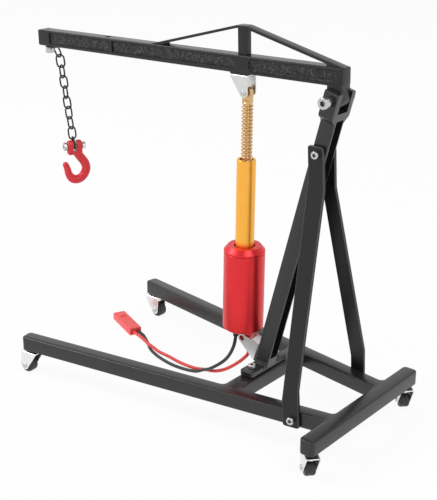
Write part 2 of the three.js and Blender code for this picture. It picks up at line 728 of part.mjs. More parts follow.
const motorBottom = housingBottom + housingFloor + seatGap;
const gearboxBottom = motorBottom + motorHeight + seatGap;
const bearingBottom = gearboxBottom + gearboxHeight + seatGap;
const couplerBottom = bearingBottom + bearingHeight + seatGap;
const shaftTop = gearboxBottom + gearboxHeight + shaftLength;
const coupler = turned([
  [0, shaftTop + fitGap], [shaftRadius + fitGap, shaftTop + fitGap], [shaftRadius + fitGap, couplerBottom],
  [bearingRadius, couplerBottom], [bearingRadius, tubeBottom - seatGap],
  [tubeBore - fitGap, tubeBottom - seatGap], [tubeBore - fitGap, tubeBottom + capLip], [0, tubeBottom + capLip],
]);
const gearbox = turned([
  [0, gearboxBottom], [gearboxRadius, gearboxBottom], [gearboxRadius, gearboxBottom + gearboxHeight],
  [shaftRadius, gearboxBottom + gearboxHeight], [shaftRadius, shaftTop], [0, shaftTop],
]);
actuator.add(
  piece('motor_housing', motorHousing(), redAnodised),
  piece('housing_cap', housingCap(), redAnodised),
  piece('motor', rod(motorRadius, motorHeight, 'z', 24).translate(0, 0, motorBottom + motorHeight / 2), zinc),
  piece('gearbox', gearbox, zinc),
  piece('thrust_bearing', ring(bearingRadius, shaftRadius + 2 * fitGap, bearingBottom, bearingBottom + bearingHeight), zinc),
  piece('coupler', coupler, brass),
  piece('actuator_tube', ring(tubeRadius, tubeBore, tubeBottom, tubeTop, 28), goldAnodised),
  piece('drive_nut', driveNut(), brass),
  piece('lead_screw', leadScrew(), brass),
  piece('lower_pivot_pin', rod(trunnionRadius, bracketWidth, 'x', 16).translate(0, lowerPinBehind, 0), redAnodised),
  piece('wire_grommet', rod(grommetRadius / 2, housingFloor, 'z', 16)
    .translate(0, -grommetAhead, housingBottom + housingFloor / 2), blackPlastic),
);

// Lower clevis pieces on the mast
const lowerClevis = new THREE.Group();
lowerClevis.applyMatrix4(lowerClevisMatrix);
const lowerScrew = capScrew(smallHead, smallHeadHeight * 0.7, smallShank, mastWeb)
  .rotateX(Math.PI)
  .translate(0, plateMiddle, lowerClevisDrop - sheet - seatGap);
const trunnionBore = rod(trunnionRadius + fitGap, 2 * bracketWidth, 'x', 14);
lowerClevis.add(
  piece('lower_clevis', cut(bracket(lowerClevisDrop, smallShank), trunnionBore), zinc),
  piece('lower_clevis_screw', lowerScrew, zinc),
);

// Casters: swivel axis through the middle of the bracket's plate
function caster({ name, x, y, turn }) {
  const group = new THREE.Group();
  group.position.set(x, y, 0);
  group.rotation.z = THREE.MathUtils.degToRad(turn);
  const bore = axleRadius + fitGap;
  const nearRim = quarterRound(wheelRadius, wheelEdge, -wheelWidth / 2, 2);
  const farRim = nearRim.map(([radius, along]) => [radius, -along]).reverse();
  const wheel = turned([
    [bore, -wheelWidth / 2], ...nearRim, ...farRim, [bore, wheelWidth / 2], [bore, -wheelWidth / 2],
  ], wheelSides).rotateY(Math.PI / 2).rotateX(Math.PI / wheelSides).translate(0, -plateMiddle, wheelRadius);
  const fork = surface(bracket(casterDrop, casterScrewShank).add(solid(rivet(axleRadius))))
    .translate(0, -plateMiddle, wheelRadius);
  group.add(
    piece(`caster_bracket_${name}`, fork, zinc),
    piece(`caster_wheel_${name}`, wheel, tyre),
  );
  return group;
}

// Each caster hangs on a screw with a fixed washer against the frame.
function casterScrew({ name, x, y }) {
  const screw = capScrew(
    casterScrewHead, casterScrewHeadHeight, casterScrewShank, barDepth * 0.6 + washerThickness + sheet)
    .rotateX(Math.PI)
    .translate(0, 0, wheelRadius + casterDrop - sheet - seatGap);
  const washer = rod(washerRadius, washerThickness - seatGap, 'z', 14)
    .translate(0, 0, washerTop - (washerThickness + seatGap) / 2);
  const mesh = piece(`caster_screw_${name}`, joined(screw, washer), zinc);
  mesh.position.set(x, y, 0);
  return mesh;
}

function roundSection(radius, sides) {
  return new THREE.Shape(Array.from({ length: sides }, (_, k) => new THREE.Vector2(radius, 0)
    .rotateAround(new THREE.Vector2(), (2 * Math.PI * k) / sides)));
}

// Chain: each link is a long round-ended ring of wire, turned about its own length
class Oval extends THREE.Curve {
  getPoint(share, target = new THREE.Vector3()) {
    const bend = (linkWidth - 2 * wireRadius) / 2;
    const straight = linkLength - 2 * wireRadius - 2 * bend;
    const angle = 2 * Math.PI * share;
    const shift = Math.tanh(6 * Math.sin(angle)) * straight / 2;
    return target.set(bend * Math.cos(angle), 0, bend * Math.sin(angle) + shift);
  }
}

function chainLink() {
  const loop = new THREE.CatmullRomCurve3(new Oval().getPoints(24).slice(0, -1), true);
  return welded(new THREE.ExtrudeGeometry(roundSection(wireRadius, 5), { steps: 18, extrudePath: loop }));
}

// Place a link by the middle of its length, its lean in the chain's plane and its own twist.
function placedLink(name, middle, lean, twist) {
  const link = piece(name, chainLink(), darkPaint);
  link.position.copy(middle);
  link.rotation.set(0, lean, twist, 'YXZ');
  return link;
}

const chainTop = new THREE.Vector3(0, -chainForward, 0).applyAxisAngle(axisX, boomDroop).y + pivotRear;
const chain = new THREE.Group();
chain.position.set(0, chainTop, 0);
chain.rotation.z = chainHeading;
// The first link lies round the screw, and the others hang from its far end.
const halfLink = linkLength / 2 - wireRadius;
const ringEnd = 2 * halfLink * Math.cos(ringLean) - smallShank - wireRadius - fitGap;
const ringMiddle = new THREE.Vector3(
  ringEnd - halfLink * Math.cos(ringLean), 0, ringHeight + halfLink * Math.sin(ringLean));
const ringArm = new THREE.Group();
ringArm.rotation.z = ringHeading;
ringArm.add(placedLink('chain_link_1', ringMiddle, Math.PI / 2 + ringLean, Math.PI / 2));
chain.add(ringArm);
const joint = new THREE.Vector3(ringEnd, 0, ringHeight + wireRadius + fitGap / 2)
  .applyAxisAngle(axisZ, ringHeading);
hangingTwists.forEach((twist, i) => {
  const isLast = i === hangingTwists.length - 1;
  const leanDegrees = i === 0 ? firstLeanDegrees : isLast ? lastLeanDegrees : chainLeanDegrees;
  const lean = THREE.MathUtils.degToRad(leanDegrees);
  const down = new THREE.Vector3(Math.sin(lean), 0, -Math.cos(lean));
  const middle = joint.clone().addScaledVector(down, chainPitch / 2);
  chain.add(placedLink(`chain_link_${i + 2}`, middle, -lean, THREE.MathUtils.degToRad(twist)));
  joint.addScaledVector(down, chainPitch);
});

// Clevis hook, built about its bolt with the bolt along X
function hook() {
  const route = [
    [0.7, -2.6], [2.7, -6], [5.5, -10.2], [6.2, -13.4], [4.9, -16.9], [2.4, -19.1], [0, -19.6],
    [-2.3, -18.7], [-3.9, -16.2], [-4.7, -12.9], [-5.7, -10.2], [-6.3, -9],
  ].map(([x, z]) => new THREE.Vector3(x, 0, z));
  const steps = 22;
  const line = new THREE.CatmullRomCurve3(route);
  const geometry = welded(new THREE.ExtrudeGeometry(roundSection(1, 8), { steps, extrudePath: line }));
  const centres = line.getSpacedPoints(steps);
  const position = geometry.attributes.position;
  const corner = new THREE.Vector3();
  for (let i = 0; i < position.count; i++) {
    corner.fromBufferAttribute(position, i);
    const distances = centres.map((centre) => centre.distanceTo(corner));
    const nearest = distances.indexOf(Math.min(...distances));
    const share = nearest / steps;
    const taper = share < 0.6 ? 1 : 1 - 1.1 * (share - 0.6);
    const tip = share > 0.9 ? Math.sqrt(1 - ((share - 0.9) / 0.105) ** 2) : 1;
    corner.sub(centres[nearest]).multiplyScalar(hookRodRadius * taper * tip).add(centres[nearest]);
    position.setXYZ(i, corner.x, corner.y, corner.z);
  }
  const ears = slab(outline([
    [-earHalfDepth, -earSink, earHalfDepth * 0.8], [earHalfDepth, -earSink, earHalfDepth * 0.8],
    [earHalfDepth, earRise, earHalfDepth * 0.95], [-earHalfDepth, earRise, earHalfDepth * 0.95],
  ], 4), earSpan, earHalfDepth / 2).applyMatrix4(sideways);
  const slotHeight = earRise + earFloor + overrun;
  const slot = new THREE.BoxGeometry(earSlot, 4 * earHalfDepth, slotHeight)
    .translate(0, 0, slotHeight / 2 - earFloor);
  const bore = rod(hookBoltRadius + fitGap, 2 * earSpan, 'x', 14);
  return cut(solid(geometry).add(solid(ears)), slot, bore);
}

const boltDrop = wireRadius + fitGap / 2 - (hookBoltRadius + wireRadius + fitGap);
const hookGroup = new THREE.Group();
hookGroup.position.copy(joint).add(new THREE.Vector3(0, 0, -boltDrop));
hookGroup.rotation.z = hookTurn;
const hookBolt = capScrew(hookBoltHead, hookBoltHeadHeight, hookBoltRadius, earSpan + hookNutHeight + 2 * seatGap)
  .rotateY(-Math.PI / 2).translate(-earSpan / 2 - seatGap, 0, 0);
const hookNut = ring(hookBoltHead * 0.95, hookBoltRadius + fitGap, 0, hookNutHeight, 6)
  .rotateY(Math.PI / 2).translate(earSpan / 2 + seatGap, 0, 0);
hookGroup.add(
  piece('hook', hook(), redPaint),
  piece('hook_bolt', hookBolt, zinc),
  piece('hook_nut', hookNut, zinc),
);
chain.add(hookGroup);

// Chain screw under the boom's tip, its head down
const chainScrew = capScrew(chainScrewHead, chainScrewHeadHeight, smallShank, chainScrewDrop + boomHeight * 0.6)
  .rotateX(Math.PI)
  .translate(0, -chainForward, boomBottom - chainScrewDrop);
boomGroup.add(piece('chain_screw', chainScrew, zinc));

// Wires: routes chosen by hand from the housing to the connector
const redRoute = [
  [-1.4, 26.2, 39.7], [-1.4, 26.4, 36], [-1.4, 28.1, 32.3], [-1.1, 31.2, 30], [-0.6, 33.4, 27.8],
  [-0.3, 33.2, 25.2], [-0.1, 30.8, 22.2], [0, 27.5, 18.9], [0, 19.3, 12.4], [-0.2, 12, 8.7], [-2.4, 1.8, 5.6],
  [-2.7, -4.1, 4.2], [-4.5, -16.6, 3], [-7.1, -27, 2.4], [-7.9, -35.4, 2.6], [-9, -40.2, 3.1],
  [-10.8, -45.7, 3.1], [-15.6, -56.2, 2.6], [-18.5, -64.3, 2.2],
];
const blackRoute = [
  [1.2, 26.5, 39.7], [1.2, 26.5, 34], [1.4, 25.2, 27.5], [1, 20, 18.8], [1.4, 10, 10.3], [0.1, 3.6, 6.8],
  [-0.3, -2, 4], [-1.9, -14.4, 1.5], [-3.1, -23.5, 0.95], [-5.3, -33, 0.95], [-9.2, -42.4, 0.95],
  [-16.2, -51.9, 1], [-19.6, -58, 1.7], [-21.1, -63.3, 2.2],
];

function cord(route) {
  const line = new THREE.CatmullRomCurve3(route.map((point) => new THREE.Vector3(...point)));
  return welded(new THREE.ExtrudeGeometry(roundSection(cordRadius, 8), { steps: 38, extrudePath: line }));
}

const sleeveEnd = blackRoute[0][2] - sleeveLength;
const sleeve = ring(sleeveRadius, cordRadius + fitGap, sleeveEnd, blackRoute[0][2], 16)
  .translate(blackRoute[0][0], blackRoute[0][1], 0);

function connector() {
  const half = connectorWidth / 2;
  const shape = outline([
    [-half, 0, connectorCorner], [half, 0, connectorCorner],
    [half, connectorHeight, connectorCorner], [-half, connectorHeight, connectorCorner],
  ], 2);
  const box = slab(shape, connectorLength).applyMatrix4(facing);
  const mouth = new THREE.BoxGeometry(
    connectorWidth - 2 * connectorWall, 2 * connectorRecess, connectorHeight - 2 * connectorWall)
    .translate(0, connectorLength / 2, connectorHeight / 2);
  const latch = new THREE.BoxGeometry(connectorWidth * 0.5, connectorLength * 0.3, connectorWall)
    .translate(0, -connectorLength * 0.12, connectorHeight);
  return cut(solid(box), mouth, latch);
}

const plug = piece('connector', connector(), redPlastic);
plug.position.set(connectorPlace.x, connectorPlace.y, 0);
plug.rotation.z = connectorHeading;

// Screws that hold the mast and the braces
const sides = [{ side: 1, name: 'near' }, { side: -1, name: 'far' }];
const fixedScrews = sides.flatMap(({ side, name }) => [
  piece(`mast_foot_screw_${name}`, capScrew(
    smallHead, smallHeadHeight, smallShank, flangeThickness + barDepth * 0.5)
    .translate(side * flangeScrewSpread, mastFootRear, frameTop + flangeThickness + 2 * seatGap), zinc),
  piece(`brace_top_screw_${name}`, capScrew(
    smallHead, smallHeadHeight, smallShank, braceThickness + mastWall * 2.2)
    .rotateY(side * Math.PI / 2)
    .translate(side * (mastWidth / 2 + braceThickness + 2 * seatGap), braceTopScrew.y, braceTopScrew.z), zinc),
  piece(`brace_bottom_screw_${name}`, capScrew(
    smallHead, smallHeadHeight, smallShank, braceThickness + legWidth * 0.4)
    .translate(0, 0, braceThickness + 2 * seatGap)
    .applyMatrix4(legScrewMatrix(side)), zinc),
]);

const mastGroup = new THREE.Group();
mastGroup.applyMatrix4(mastMatrix);
mastGroup.add(piece('mast', mast(), paint));

const crane = new THREE.Group();
crane.add(
  piece('base_frame', baseFrame(), paint),
  mastGroup,
  ...fixedScrews,
  piece('brace_near', brace(1), darkPaint),
  piece('brace_far', brace(-1), darkPaint),
  piece('boom_pivot_screw', pivotScrew, zinc),
  piece('boom_pivot_nut', pivotNut, zinc),
  boomGroup,
  actuator,
  lowerClevis,
  ...casters.map(caster),
  ...casters.map(casterScrew),
  chain,
  piece('red_wire', cord(redRoute), redPlastic),
  piece('black_wire', cord(blackRoute), blackPlastic),
  piece('wire_sleeve', sleeve, blackPlastic),
  plug,
);

export default crane;
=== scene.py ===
from math import acos, atan2, cos, hypot, pi, radians, sin, sqrt, tan
import bmesh
import bpy
from mathutils import Matrix, Vector


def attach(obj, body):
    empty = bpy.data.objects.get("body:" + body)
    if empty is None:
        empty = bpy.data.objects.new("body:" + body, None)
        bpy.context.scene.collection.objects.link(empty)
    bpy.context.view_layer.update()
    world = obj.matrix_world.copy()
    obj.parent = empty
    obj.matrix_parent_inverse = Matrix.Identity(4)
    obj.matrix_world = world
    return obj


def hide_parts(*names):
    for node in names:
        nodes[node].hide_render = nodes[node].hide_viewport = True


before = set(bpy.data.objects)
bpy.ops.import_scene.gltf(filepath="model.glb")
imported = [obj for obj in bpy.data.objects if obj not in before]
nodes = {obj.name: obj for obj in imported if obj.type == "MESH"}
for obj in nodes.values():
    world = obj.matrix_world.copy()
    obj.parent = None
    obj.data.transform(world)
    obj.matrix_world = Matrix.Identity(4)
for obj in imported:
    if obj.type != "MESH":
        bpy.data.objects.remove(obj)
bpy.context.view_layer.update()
millimetre = 0.001

scene = bpy.context.scene
scene.view_settings.view_transform = "Standard"


# Camera

cameraView = {"azimuth": 128.87, "elevation": 21.05, "roll": 0.195, "focal": 1142.04,
              "imageHeight": 500, "place": (0.4222, 0.3543, 0.2869)}


def addCamera(view):
    turn, rise, roll = (radians(view[key]) for key in ("azimuth", "elevation", "roll"))
    back = Vector((sin(turn) * cos(rise), -cos(turn) * cos(rise), sin(rise)))
    right = Vector((cos(turn), sin(turn), 0))
    up = back.cross(right)
    tiltedRight = right * cos(roll) + up * sin(roll)
    tiltedUp = up * cos(roll) - right * sin(roll)
    lens = bpy.data.cameras.new("camera")
    lens.sensor_width = 36
    lens.lens = view["focal"] / view["imageHeight"] * 36
    lens.clip_start, lens.clip_end = 0.01, 50
    camera = bpy.data.objects.new("camera", lens)
    camera.matrix_world = Matrix.Translation(view["place"]) @ Matrix(
        (tiltedRight, tiltedUp, back)).transposed().to_4x4()
    scene.collection.objects.link(camera)
    scene.camera = camera


addCamera(cameraView)
print("camera placed")


# Shared shader groups: each puts out colours, heights or masks only

def newGroup(name, inputs, outputs):
    tree = bpy.data.node_groups.new(name, "ShaderNodeTree")
    for label, kind, value in inputs:
        socket = tree.interface.new_socket(name=label, in_out="INPUT", socket_type=kind)
        socket.default_value = value
    for label, kind in outputs:
        tree.interface.new_socket(name=label, in_out="OUTPUT", socket_type=kind)
    return tree, tree.nodes.new("NodeGroupInput"), tree.nodes.new("NodeGroupOutput")


def mathNode(tree, operation, first, second=None):
    node = tree.nodes.new("ShaderNodeMath")
    node.operation = operation
    for index, value in enumerate((first, second)):
        if value is None:
            continue
        if isinstance(value, (int, float)):
            node.inputs[index].default_value = value
        else:
            tree.links.new(value, node.inputs[index])
    return node.outputs[0]


def noiseNode(tree, place, scale, detail=2.0, roughness=0.5):
    node = tree.nodes.new("ShaderNodeTexNoise")
    tree.links.new(place, node.inputs["Vector"])
    if isinstance(scale, (int, float)):
        node.inputs["Scale"].default_value = scale
    else:
        tree.links.new(scale, node.inputs["Scale"])
    node.inputs["Detail"].default_value = detail
    node.inputs["Roughness"].default_value = roughness
    return node.outputs["Fac"]


def objectPlace(tree, stretch=(1, 1, 1)):
    place = tree.nodes.new("ShaderNodeTexCoord").outputs["Object"]
    if stretch == (1, 1, 1):
        return place
    mapping = tree.nodes.new("ShaderNodeMapping")
    mapping.inputs["Scale"].default_value = stretch
    tree.links.new(place, mapping.inputs["Vector"])
    return mapping.outputs["Vector"]


def buildPaintSkin():
    # Sprayed paint: a fine orange peel over slow waves of the casting below.
    tree, given, result = newGroup(
        "paintSkin",
        [("Peel Scale", "NodeSocketFloat", 1800.0), ("Peel Height", "NodeSocketFloat", 0.00001),
         ("Wave Scale", "NodeSocketFloat", 160.0), ("Wave Height", "NodeSocketFloat", 0.00004)],
        [("Height", "NodeSocketFloat"), ("Mask", "NodeSocketFloat")])
    place = objectPlace(tree)
    peel = noiseNode(tree, place, given.outputs["Peel Scale"], 3)
    wave = noiseNode(tree, place, given.outputs["Wave Scale"], 2)
    peelHeight = mathNode(tree, "MULTIPLY", peel, given.outputs["Peel Height"])
    waveHeight = mathNode(tree, "MULTIPLY", wave, given.outputs["Wave Height"])
    tree.links.new(mathNode(tree, "ADD", peelHeight, waveHeight), result.inputs["Height"])
    tree.links.new(wave, result.inputs["Mask"])
    return tree


def buildCastSkin():
    # Sand-cast skin: rounded grains and shallow pits.
    tree, given, result = newGroup(
        "castSkin",
        [("Grain Scale", "NodeSocketFloat", 1100.0), ("Grain Height", "NodeSocketFloat", 0.0002)],
        [("Height", "NodeSocketFloat"), ("Mask", "NodeSocketFloat")])
    place = objectPlace(tree)
    grain = tree.nodes.new("ShaderNodeTexVoronoi")
    grain.feature = "SMOOTH_F1"
    tree.links.new(place, grain.inputs["Vector"])
    tree.links.new(given.outputs["Grain Scale"], grain.inputs["Scale"])
    clump = noiseNode(tree, place, mathNode(tree, "MULTIPLY", given.outputs["Grain Scale"], 0.35), 4, 0.6)
    mixed = mathNode(tree, "MULTIPLY", grain.outputs["Distance"], clump)
    tree.links.new(mathNode(tree, "MULTIPLY", mixed, given.outputs["Grain Height"]), result.inputs["Height"])
    spread = tree.nodes.new("ShaderNodeMapRange")
    spread.inputs["From Min"].default_value = 0.16
    spread.inputs["From Max"].default_value = 0.42
    tree.links.new(mixed, spread.inputs["Value"])
    tree.links.new(spread.outputs["Result"], result.inputs["Mask"])
    return tree


def buildTurnedLines():
    # Lathe marks: fine rings across the actuator's axis, uneven from ring to ring.
    tree, given, result = newGroup(
        "turnedLines",
        [("Line Scale", "NodeSocketFloat", 9000.0), ("Line Height", "NodeSocketFloat", 0.000004)],
        [("Height", "NodeSocketFloat"), ("Mask", "NodeSocketFloat")])
    place = objectPlace(tree, (0.002, 0.002, 1))
    lines = noiseNode(tree, place, given.outputs["Line Scale"], 2)
    band = noiseNode(tree, place, mathNode(tree, "MULTIPLY", given.outputs["Line Scale"], 0.06), 2)
    tree.links.new(mathNode(tree, "MULTIPLY", lines, given.outputs["Line Height"]), result.inputs["Height"])
    tree.links.new(mathNode(tree, "MULTIPLY", lines, band), result.inputs["Mask"])
    return tree


def buildToneShift():
    # Two colours mixed by slow noise, for plating, dye and moulding that isn't quite even.
    tree, given, result = newGroup(
        "toneShift",
        [("Light Color", "NodeSocketColor", (1, 1, 1, 1)), ("Dark Color", "NodeSocketColor", (0, 0, 0, 1)),
         ("Scale", "NodeSocketFloat", 300.0), ("Low Roughness", "NodeSocketFloat", 0.2),
         ("High Roughness", "NodeSocketFloat", 0.3)],
        [("Color", "NodeSocketColor"), ("Roughness", "NodeSocketFloat")])
    cloud = noiseNode(tree, objectPlace(tree), given.outputs["Scale"], 4, 0.6)
    mix = tree.nodes.new("ShaderNodeMix")
    mix.data_type = "RGBA"
    tree.links.new(cloud, mix.inputs["Factor"])
    tree.links.new(given.outputs["Dark Color"], mix.inputs["A"])
    tree.links.new(given.outputs["Light Color"], mix.inputs["B"])
    tree.links.new(mix.outputs["Result"], result.inputs["Color"])
    spread = tree.nodes.new("ShaderNodeMapRange")
    tree.links.new(cloud, spread.inputs["Value"])
    tree.links.new(given.outputs["Low Roughness"], spread.inputs["To Min"])
    tree.links.new(given.outputs["High Roughness"], spread.inputs["To Max"])
    tree.links.new(spread.outputs["Result"], result.inputs["Roughness"])
    return tree


paintSkin = buildPaintSkin()
castSkin = buildCastSkin()
turnedLines = buildTurnedLines()
toneShift = buildToneShift()


def placeGroup(tree, group, **values):
    node = tree.nodes.new("ShaderNodeGroup")
    node.node_tree = group
    for label, value in values.items():
        node.inputs[label.replace("_", " ")].default_value = value
    return node


# Materials: light and dark are the two ends of each colour's slow variation

def finish(name, light, dark, roughness, surface, heights=None, toneScale=300.0, grains=None, **sockets):
    material = bpy.data.materials.new(name)
    material.use_nodes = True
    tree = material.node_tree
    shader = tree.nodes["Principled BSDF"]
    for label, value in sockets.items():
        shader.inputs[label.replace("_", " ")].default_value = value
    tone = placeGroup(tree, toneShift, Light_Color=(*light, 1), Dark_Color=(*dark, 1), Scale=toneScale,
                      Low_Roughness=roughness[0], High_Roughness=roughness[1])
    tree.links.new(tone.outputs["Roughness"], shader.inputs["Roughness"])
    skin = placeGroup(tree, surface, **(heights or {}))
    bump = tree.nodes.new("ShaderNodeBump")
    bump.inputs["Distance"].default_value = 1.0
    tree.links.new(skin.outputs["Height"], bump.inputs["Height"])
    tree.links.new(bump.outputs["Normal"], shader.inputs["Normal"])
    colour = tone.outputs["Color"]
    if grains:
        mix = tree.nodes.new("ShaderNodeMix")
        mix.data_type = "RGBA"
        tree.links.new(skin.outputs["Mask"], mix.inputs["Factor"])
        tree.links.new(colour, mix.inputs["A"])
        mix.inputs["B"].default_value = (*grains, 1)
        colour = mix.outputs["Result"]
    tree.links.new(colour, shader.inputs["Base Color"])
    return material


castBlack = finish("castBlack", (0.018, 0.018, 0.019), (0.012, 0.012, 0.013), (0.24, 0.34), paintSkin,
                   {"Peel_Scale": 1500.0, "Peel_Height": 0.000012, "Wave_Height": 0.00002})
barBlack = finish("barBlack", (0.011, 0.011, 0.012), (0.007, 0.007, 0.008), (0.30, 0.42), paintSkin,
                  {"Peel_Scale": 2400.0, "Peel_Height": 0.000008, "Wave_Height": 0.00001},
                  Specular_IOR_Level=0.36)
boomBlack = finish("boomBlack", (0.012, 0.012, 0.013), (0.008, 0.008, 0.009), (0.24, 0.36), paintSkin,
                   {"Peel_Scale": 1500.0, "Peel_Height": 0.000012, "Wave_Height": 0.00002},
                   Specular_IOR_Level=0.38)
# Painted highlight: a light grey-black laid on rounded rims and on faces turned to the lamps, standing in for
# light caught by the paint
paintedEdgeHighlight = finish("paintedEdgeHighlight", (0.10, 0.10, 0.102), (0.035, 0.035, 0.036), (0.28, 0.42), paintSkin,
                   {"Peel_Scale": 1800.0, "Peel_Height": 0.00001}, toneScale=240.0)
pocketBlack = finish("pocketBlack", (0.010, 0.010, 0.010), (0.005, 0.005, 0.005), (0.4, 0.6), castSkin,
                     {"Grain_Scale": 1300.0, "Grain_Height": 0.0002}, grains=(0.075, 0.075, 0.076),
                     Specular_IOR_Level=0.34)
chainBlack = finish("chainBlack", (0.014, 0.014, 0.014), (0.007, 0.007, 0.007), (0.34, 0.48), paintSkin,
                    {"Peel_Scale": 3500.0, "Peel_Height": 0.000006}, toneScale=900.0)
zincPlate = finish("zincPlate", (0.90, 0.905, 0.895), (0.78, 0.785, 0.78), (0.24, 0.36), paintSkin,
                   {"Peel_Scale": 2600.0, "Peel_Height": 0.000003, "Wave_Height": 0.000006},
                   toneScale=420.0, Metallic=1.0)
screwZinc = finish("screwZinc", (0.66, 0.662, 0.655), (0.44, 0.442, 0.438), (0.22, 0.34), paintSkin,
                   {"Peel_Scale": 2600.0, "Peel_Height": 0.000004, "Wave_Height": 0.000008},
                   toneScale=700.0, Metallic=1.0)
clevisZinc = finish("clevisZinc", (0.76, 0.765, 0.755), (0.62, 0.625, 0.615), (0.24, 0.36), paintSkin,
                    {"Peel_Scale": 2600.0, "Peel_Height": 0.000004, "Wave_Height": 0.000008},
                    toneScale=300.0, Metallic=1.0)
socketShade = finish("socketShade", (0.34, 0.34, 0.34), (0.14, 0.14, 0.14), (0.45, 0.6), paintSkin,
                     {"Peel_Scale": 3000.0, "Peel_Height": 0.00001}, toneScale=900.0, Metallic=1.0)
plainSteel = finish("plainSteel", (0.56, 0.57, 0.58), (0.42, 0.43, 0.44), (0.26, 0.4), turnedLines,
                    {"Line_Height": 0.000004}, Metallic=1.0)
redDye = finish("redDye", (0.82, 0.036, 0.042), (0.72, 0.024, 0.030), (0.30, 0.38), turnedLines,
                {"Line_Scale": 12000.0, "Line_Height": 0.0000025}, toneScale=120.0, Metallic=0.7)
goldDye = finish("goldDye", (1.0, 0.50, 0.075), (0.94, 0.43, 0.058), (0.26, 0.34), turnedLines,
                 {"Line_Scale": 12000.0, "Line_Height": 0.0000025}, toneScale=120.0, Metallic=0.8)
pinRed = finish("pinRed", (0.32, 0.012, 0.018), (0.22, 0.008, 0.012), (0.3, 0.4), turnedLines, Metallic=0.7)
brassThread = finish("brassThread", (0.78, 0.53, 0.27), (0.52, 0.32, 0.15), (0.20, 0.34), paintSkin,
                     {"Peel_Scale": 4200.0, "Peel_Height": 0.000010}, toneScale=1500.0, Metallic=1.0)
wheelBlack = finish("wheelBlack", (0.024, 0.024, 0.024), (0.014, 0.014, 0.014), (0.38, 0.52), paintSkin,
                    {"Peel_Scale": 2200.0, "Peel_Height": 0.000014}, toneScale=500.0)
hookRed = finish("hookRed", (0.80, 0.028, 0.042), (0.62, 0.017, 0.026), (0.28, 0.42), paintSkin,
                 {"Peel_Scale": 1300.0, "Peel_Height": 0.000030, "Wave_Height": 0.00008}, toneScale=500.0)
siliconeRed = finish("siliconeRed", (0.90, 0.062, 0.052), (0.80, 0.045, 0.040), (0.34, 0.44), paintSkin,
                     {"Peel_Scale": 3000.0, "Peel_Height": 0.000006}, toneScale=260.0)
siliconeBlack = finish("siliconeBlack", (0.028, 0.028, 0.029), (0.016, 0.016, 0.017), (0.34, 0.46), paintSkin,
                       {"Peel_Scale": 3000.0, "Peel_Height": 0.000006}, toneScale=260.0)
plugRed = finish("plugRed", (0.98, 0.120, 0.115), (0.90, 0.092, 0.088), (0.36, 0.46), paintSkin,
                 {"Peel_Scale": 2600.0, "Peel_Height": 0.000008}, toneScale=400.0)
plugBlack = finish("plugBlack", (0.030, 0.030, 0.030), (0.018, 0.018, 0.018), (0.4, 0.5), paintSkin,
                   {"Peel_Scale": 2600.0, "Peel_Height": 0.000010})
print("materials made")


# Shapes, in millimetres until a piece is placed

def at(x, y, z):
    return Matrix.Translation((x, y, z))


def spin(angle, axis):
    return Matrix.Rotation(angle, 4, axis)


def cutBy(mesh):
    return "DIFFERENCE", mesh


def joinTo(mesh):
    return "UNION", mesh


def boxCorners(left, right, low, high, radius=0):
    return [(left, low, radius), (right, low, radius), (right, high, radius), (left, high, radius)]


def meshOf(edit, name):
    # The edited faces as a mesh, all facing outward.
    bmesh.ops.recalc_face_normals(edit, faces=edit.faces)
    mesh = bpy.data.meshes.new(name)
    edit.to_mesh(mesh)
    edit.free()
    return mesh


def outline(corners, steps=8):
    points = []
    for index, corner in enumerate(corners):
        here = Vector(corner[:2])
        radius = corner[2] if len(corner) > 2 else 0
        if not radius:
            points.append(here)
            continue
        before = (Vector(corners[index - 1][:2]) - here).normalized()
        after = (Vector(corners[(index + 1) % len(corners)][:2]) - here).normalized()
        half = acos(max(-1, min(1, before.dot(after)))) / 2
        centre = here + (before + after).normalized() * (radius / sin(half))
        start = here + before * (radius / tan(half)) - centre
        end = here + after * (radius / tan(half)) - centre
        sweep = atan2(end.y, end.x) - atan2(start.y, start.x)
        sweep -= 2 * pi * round(sweep / (2 * pi))
        for step in range(steps + 1):
            turned = start.copy()
            turned.rotate(Matrix.Rotation(sweep * step / steps, 2))
            points.append(centre + turned)
    return points


def tidied(mesh, angle=0.4):
    edit = bmesh.new()
    edit.from_mesh(mesh)
    bmesh.ops.remove_doubles(edit, verts=edit.verts, dist=0.002)
    bmesh.ops.dissolve_limit(edit, angle_limit=radians(angle), verts=edit.verts, edges=edit.edges)
    bmesh.ops.recalc_face_normals(edit, faces=edit.faces)
    edit.to_mesh(mesh)
    edit.free()
    return mesh


def evaluatedMesh(holder):
    scene.collection.objects.link(holder)
    bpy.context.view_layer.update()
    mesh = bpy.data.meshes.new_from_object(holder.evaluated_get(bpy.context.evaluated_depsgraph_get()))
    source = holder.data
    bpy.data.objects.remove(holder)
    if source.users == 0:
        (bpy.data.curves if isinstance(source, bpy.types.Curve) else bpy.data.meshes).remove(source)
    return mesh


def plate(outer, thickness, edge=0.0, holes=(), rimSteps=3):
    # A flat piece of the outline, centred on zero thickness, with rounded rims.
    curve = bpy.data.curves.new("plate", "CURVE")
    curve.dimensions = "2D"
    curve.fill_mode = "BOTH"
    for loop in (outer, *holes):
        spline = curve.splines.new("POLY")
        spline.points.add(len(loop) - 1)
        for point, (x, y) in zip(spline.points, loop):
            point.co = (x, y, 0, 1)
        spline.use_cyclic_u = True
    curve.extrude = thickness / 2 - edge
    curve.bevel_depth = edge
    curve.bevel_resolution = rimSteps
    curve.offset = -edge
    return tidied(evaluatedMesh(bpy.data.objects.new("plate", curve)))


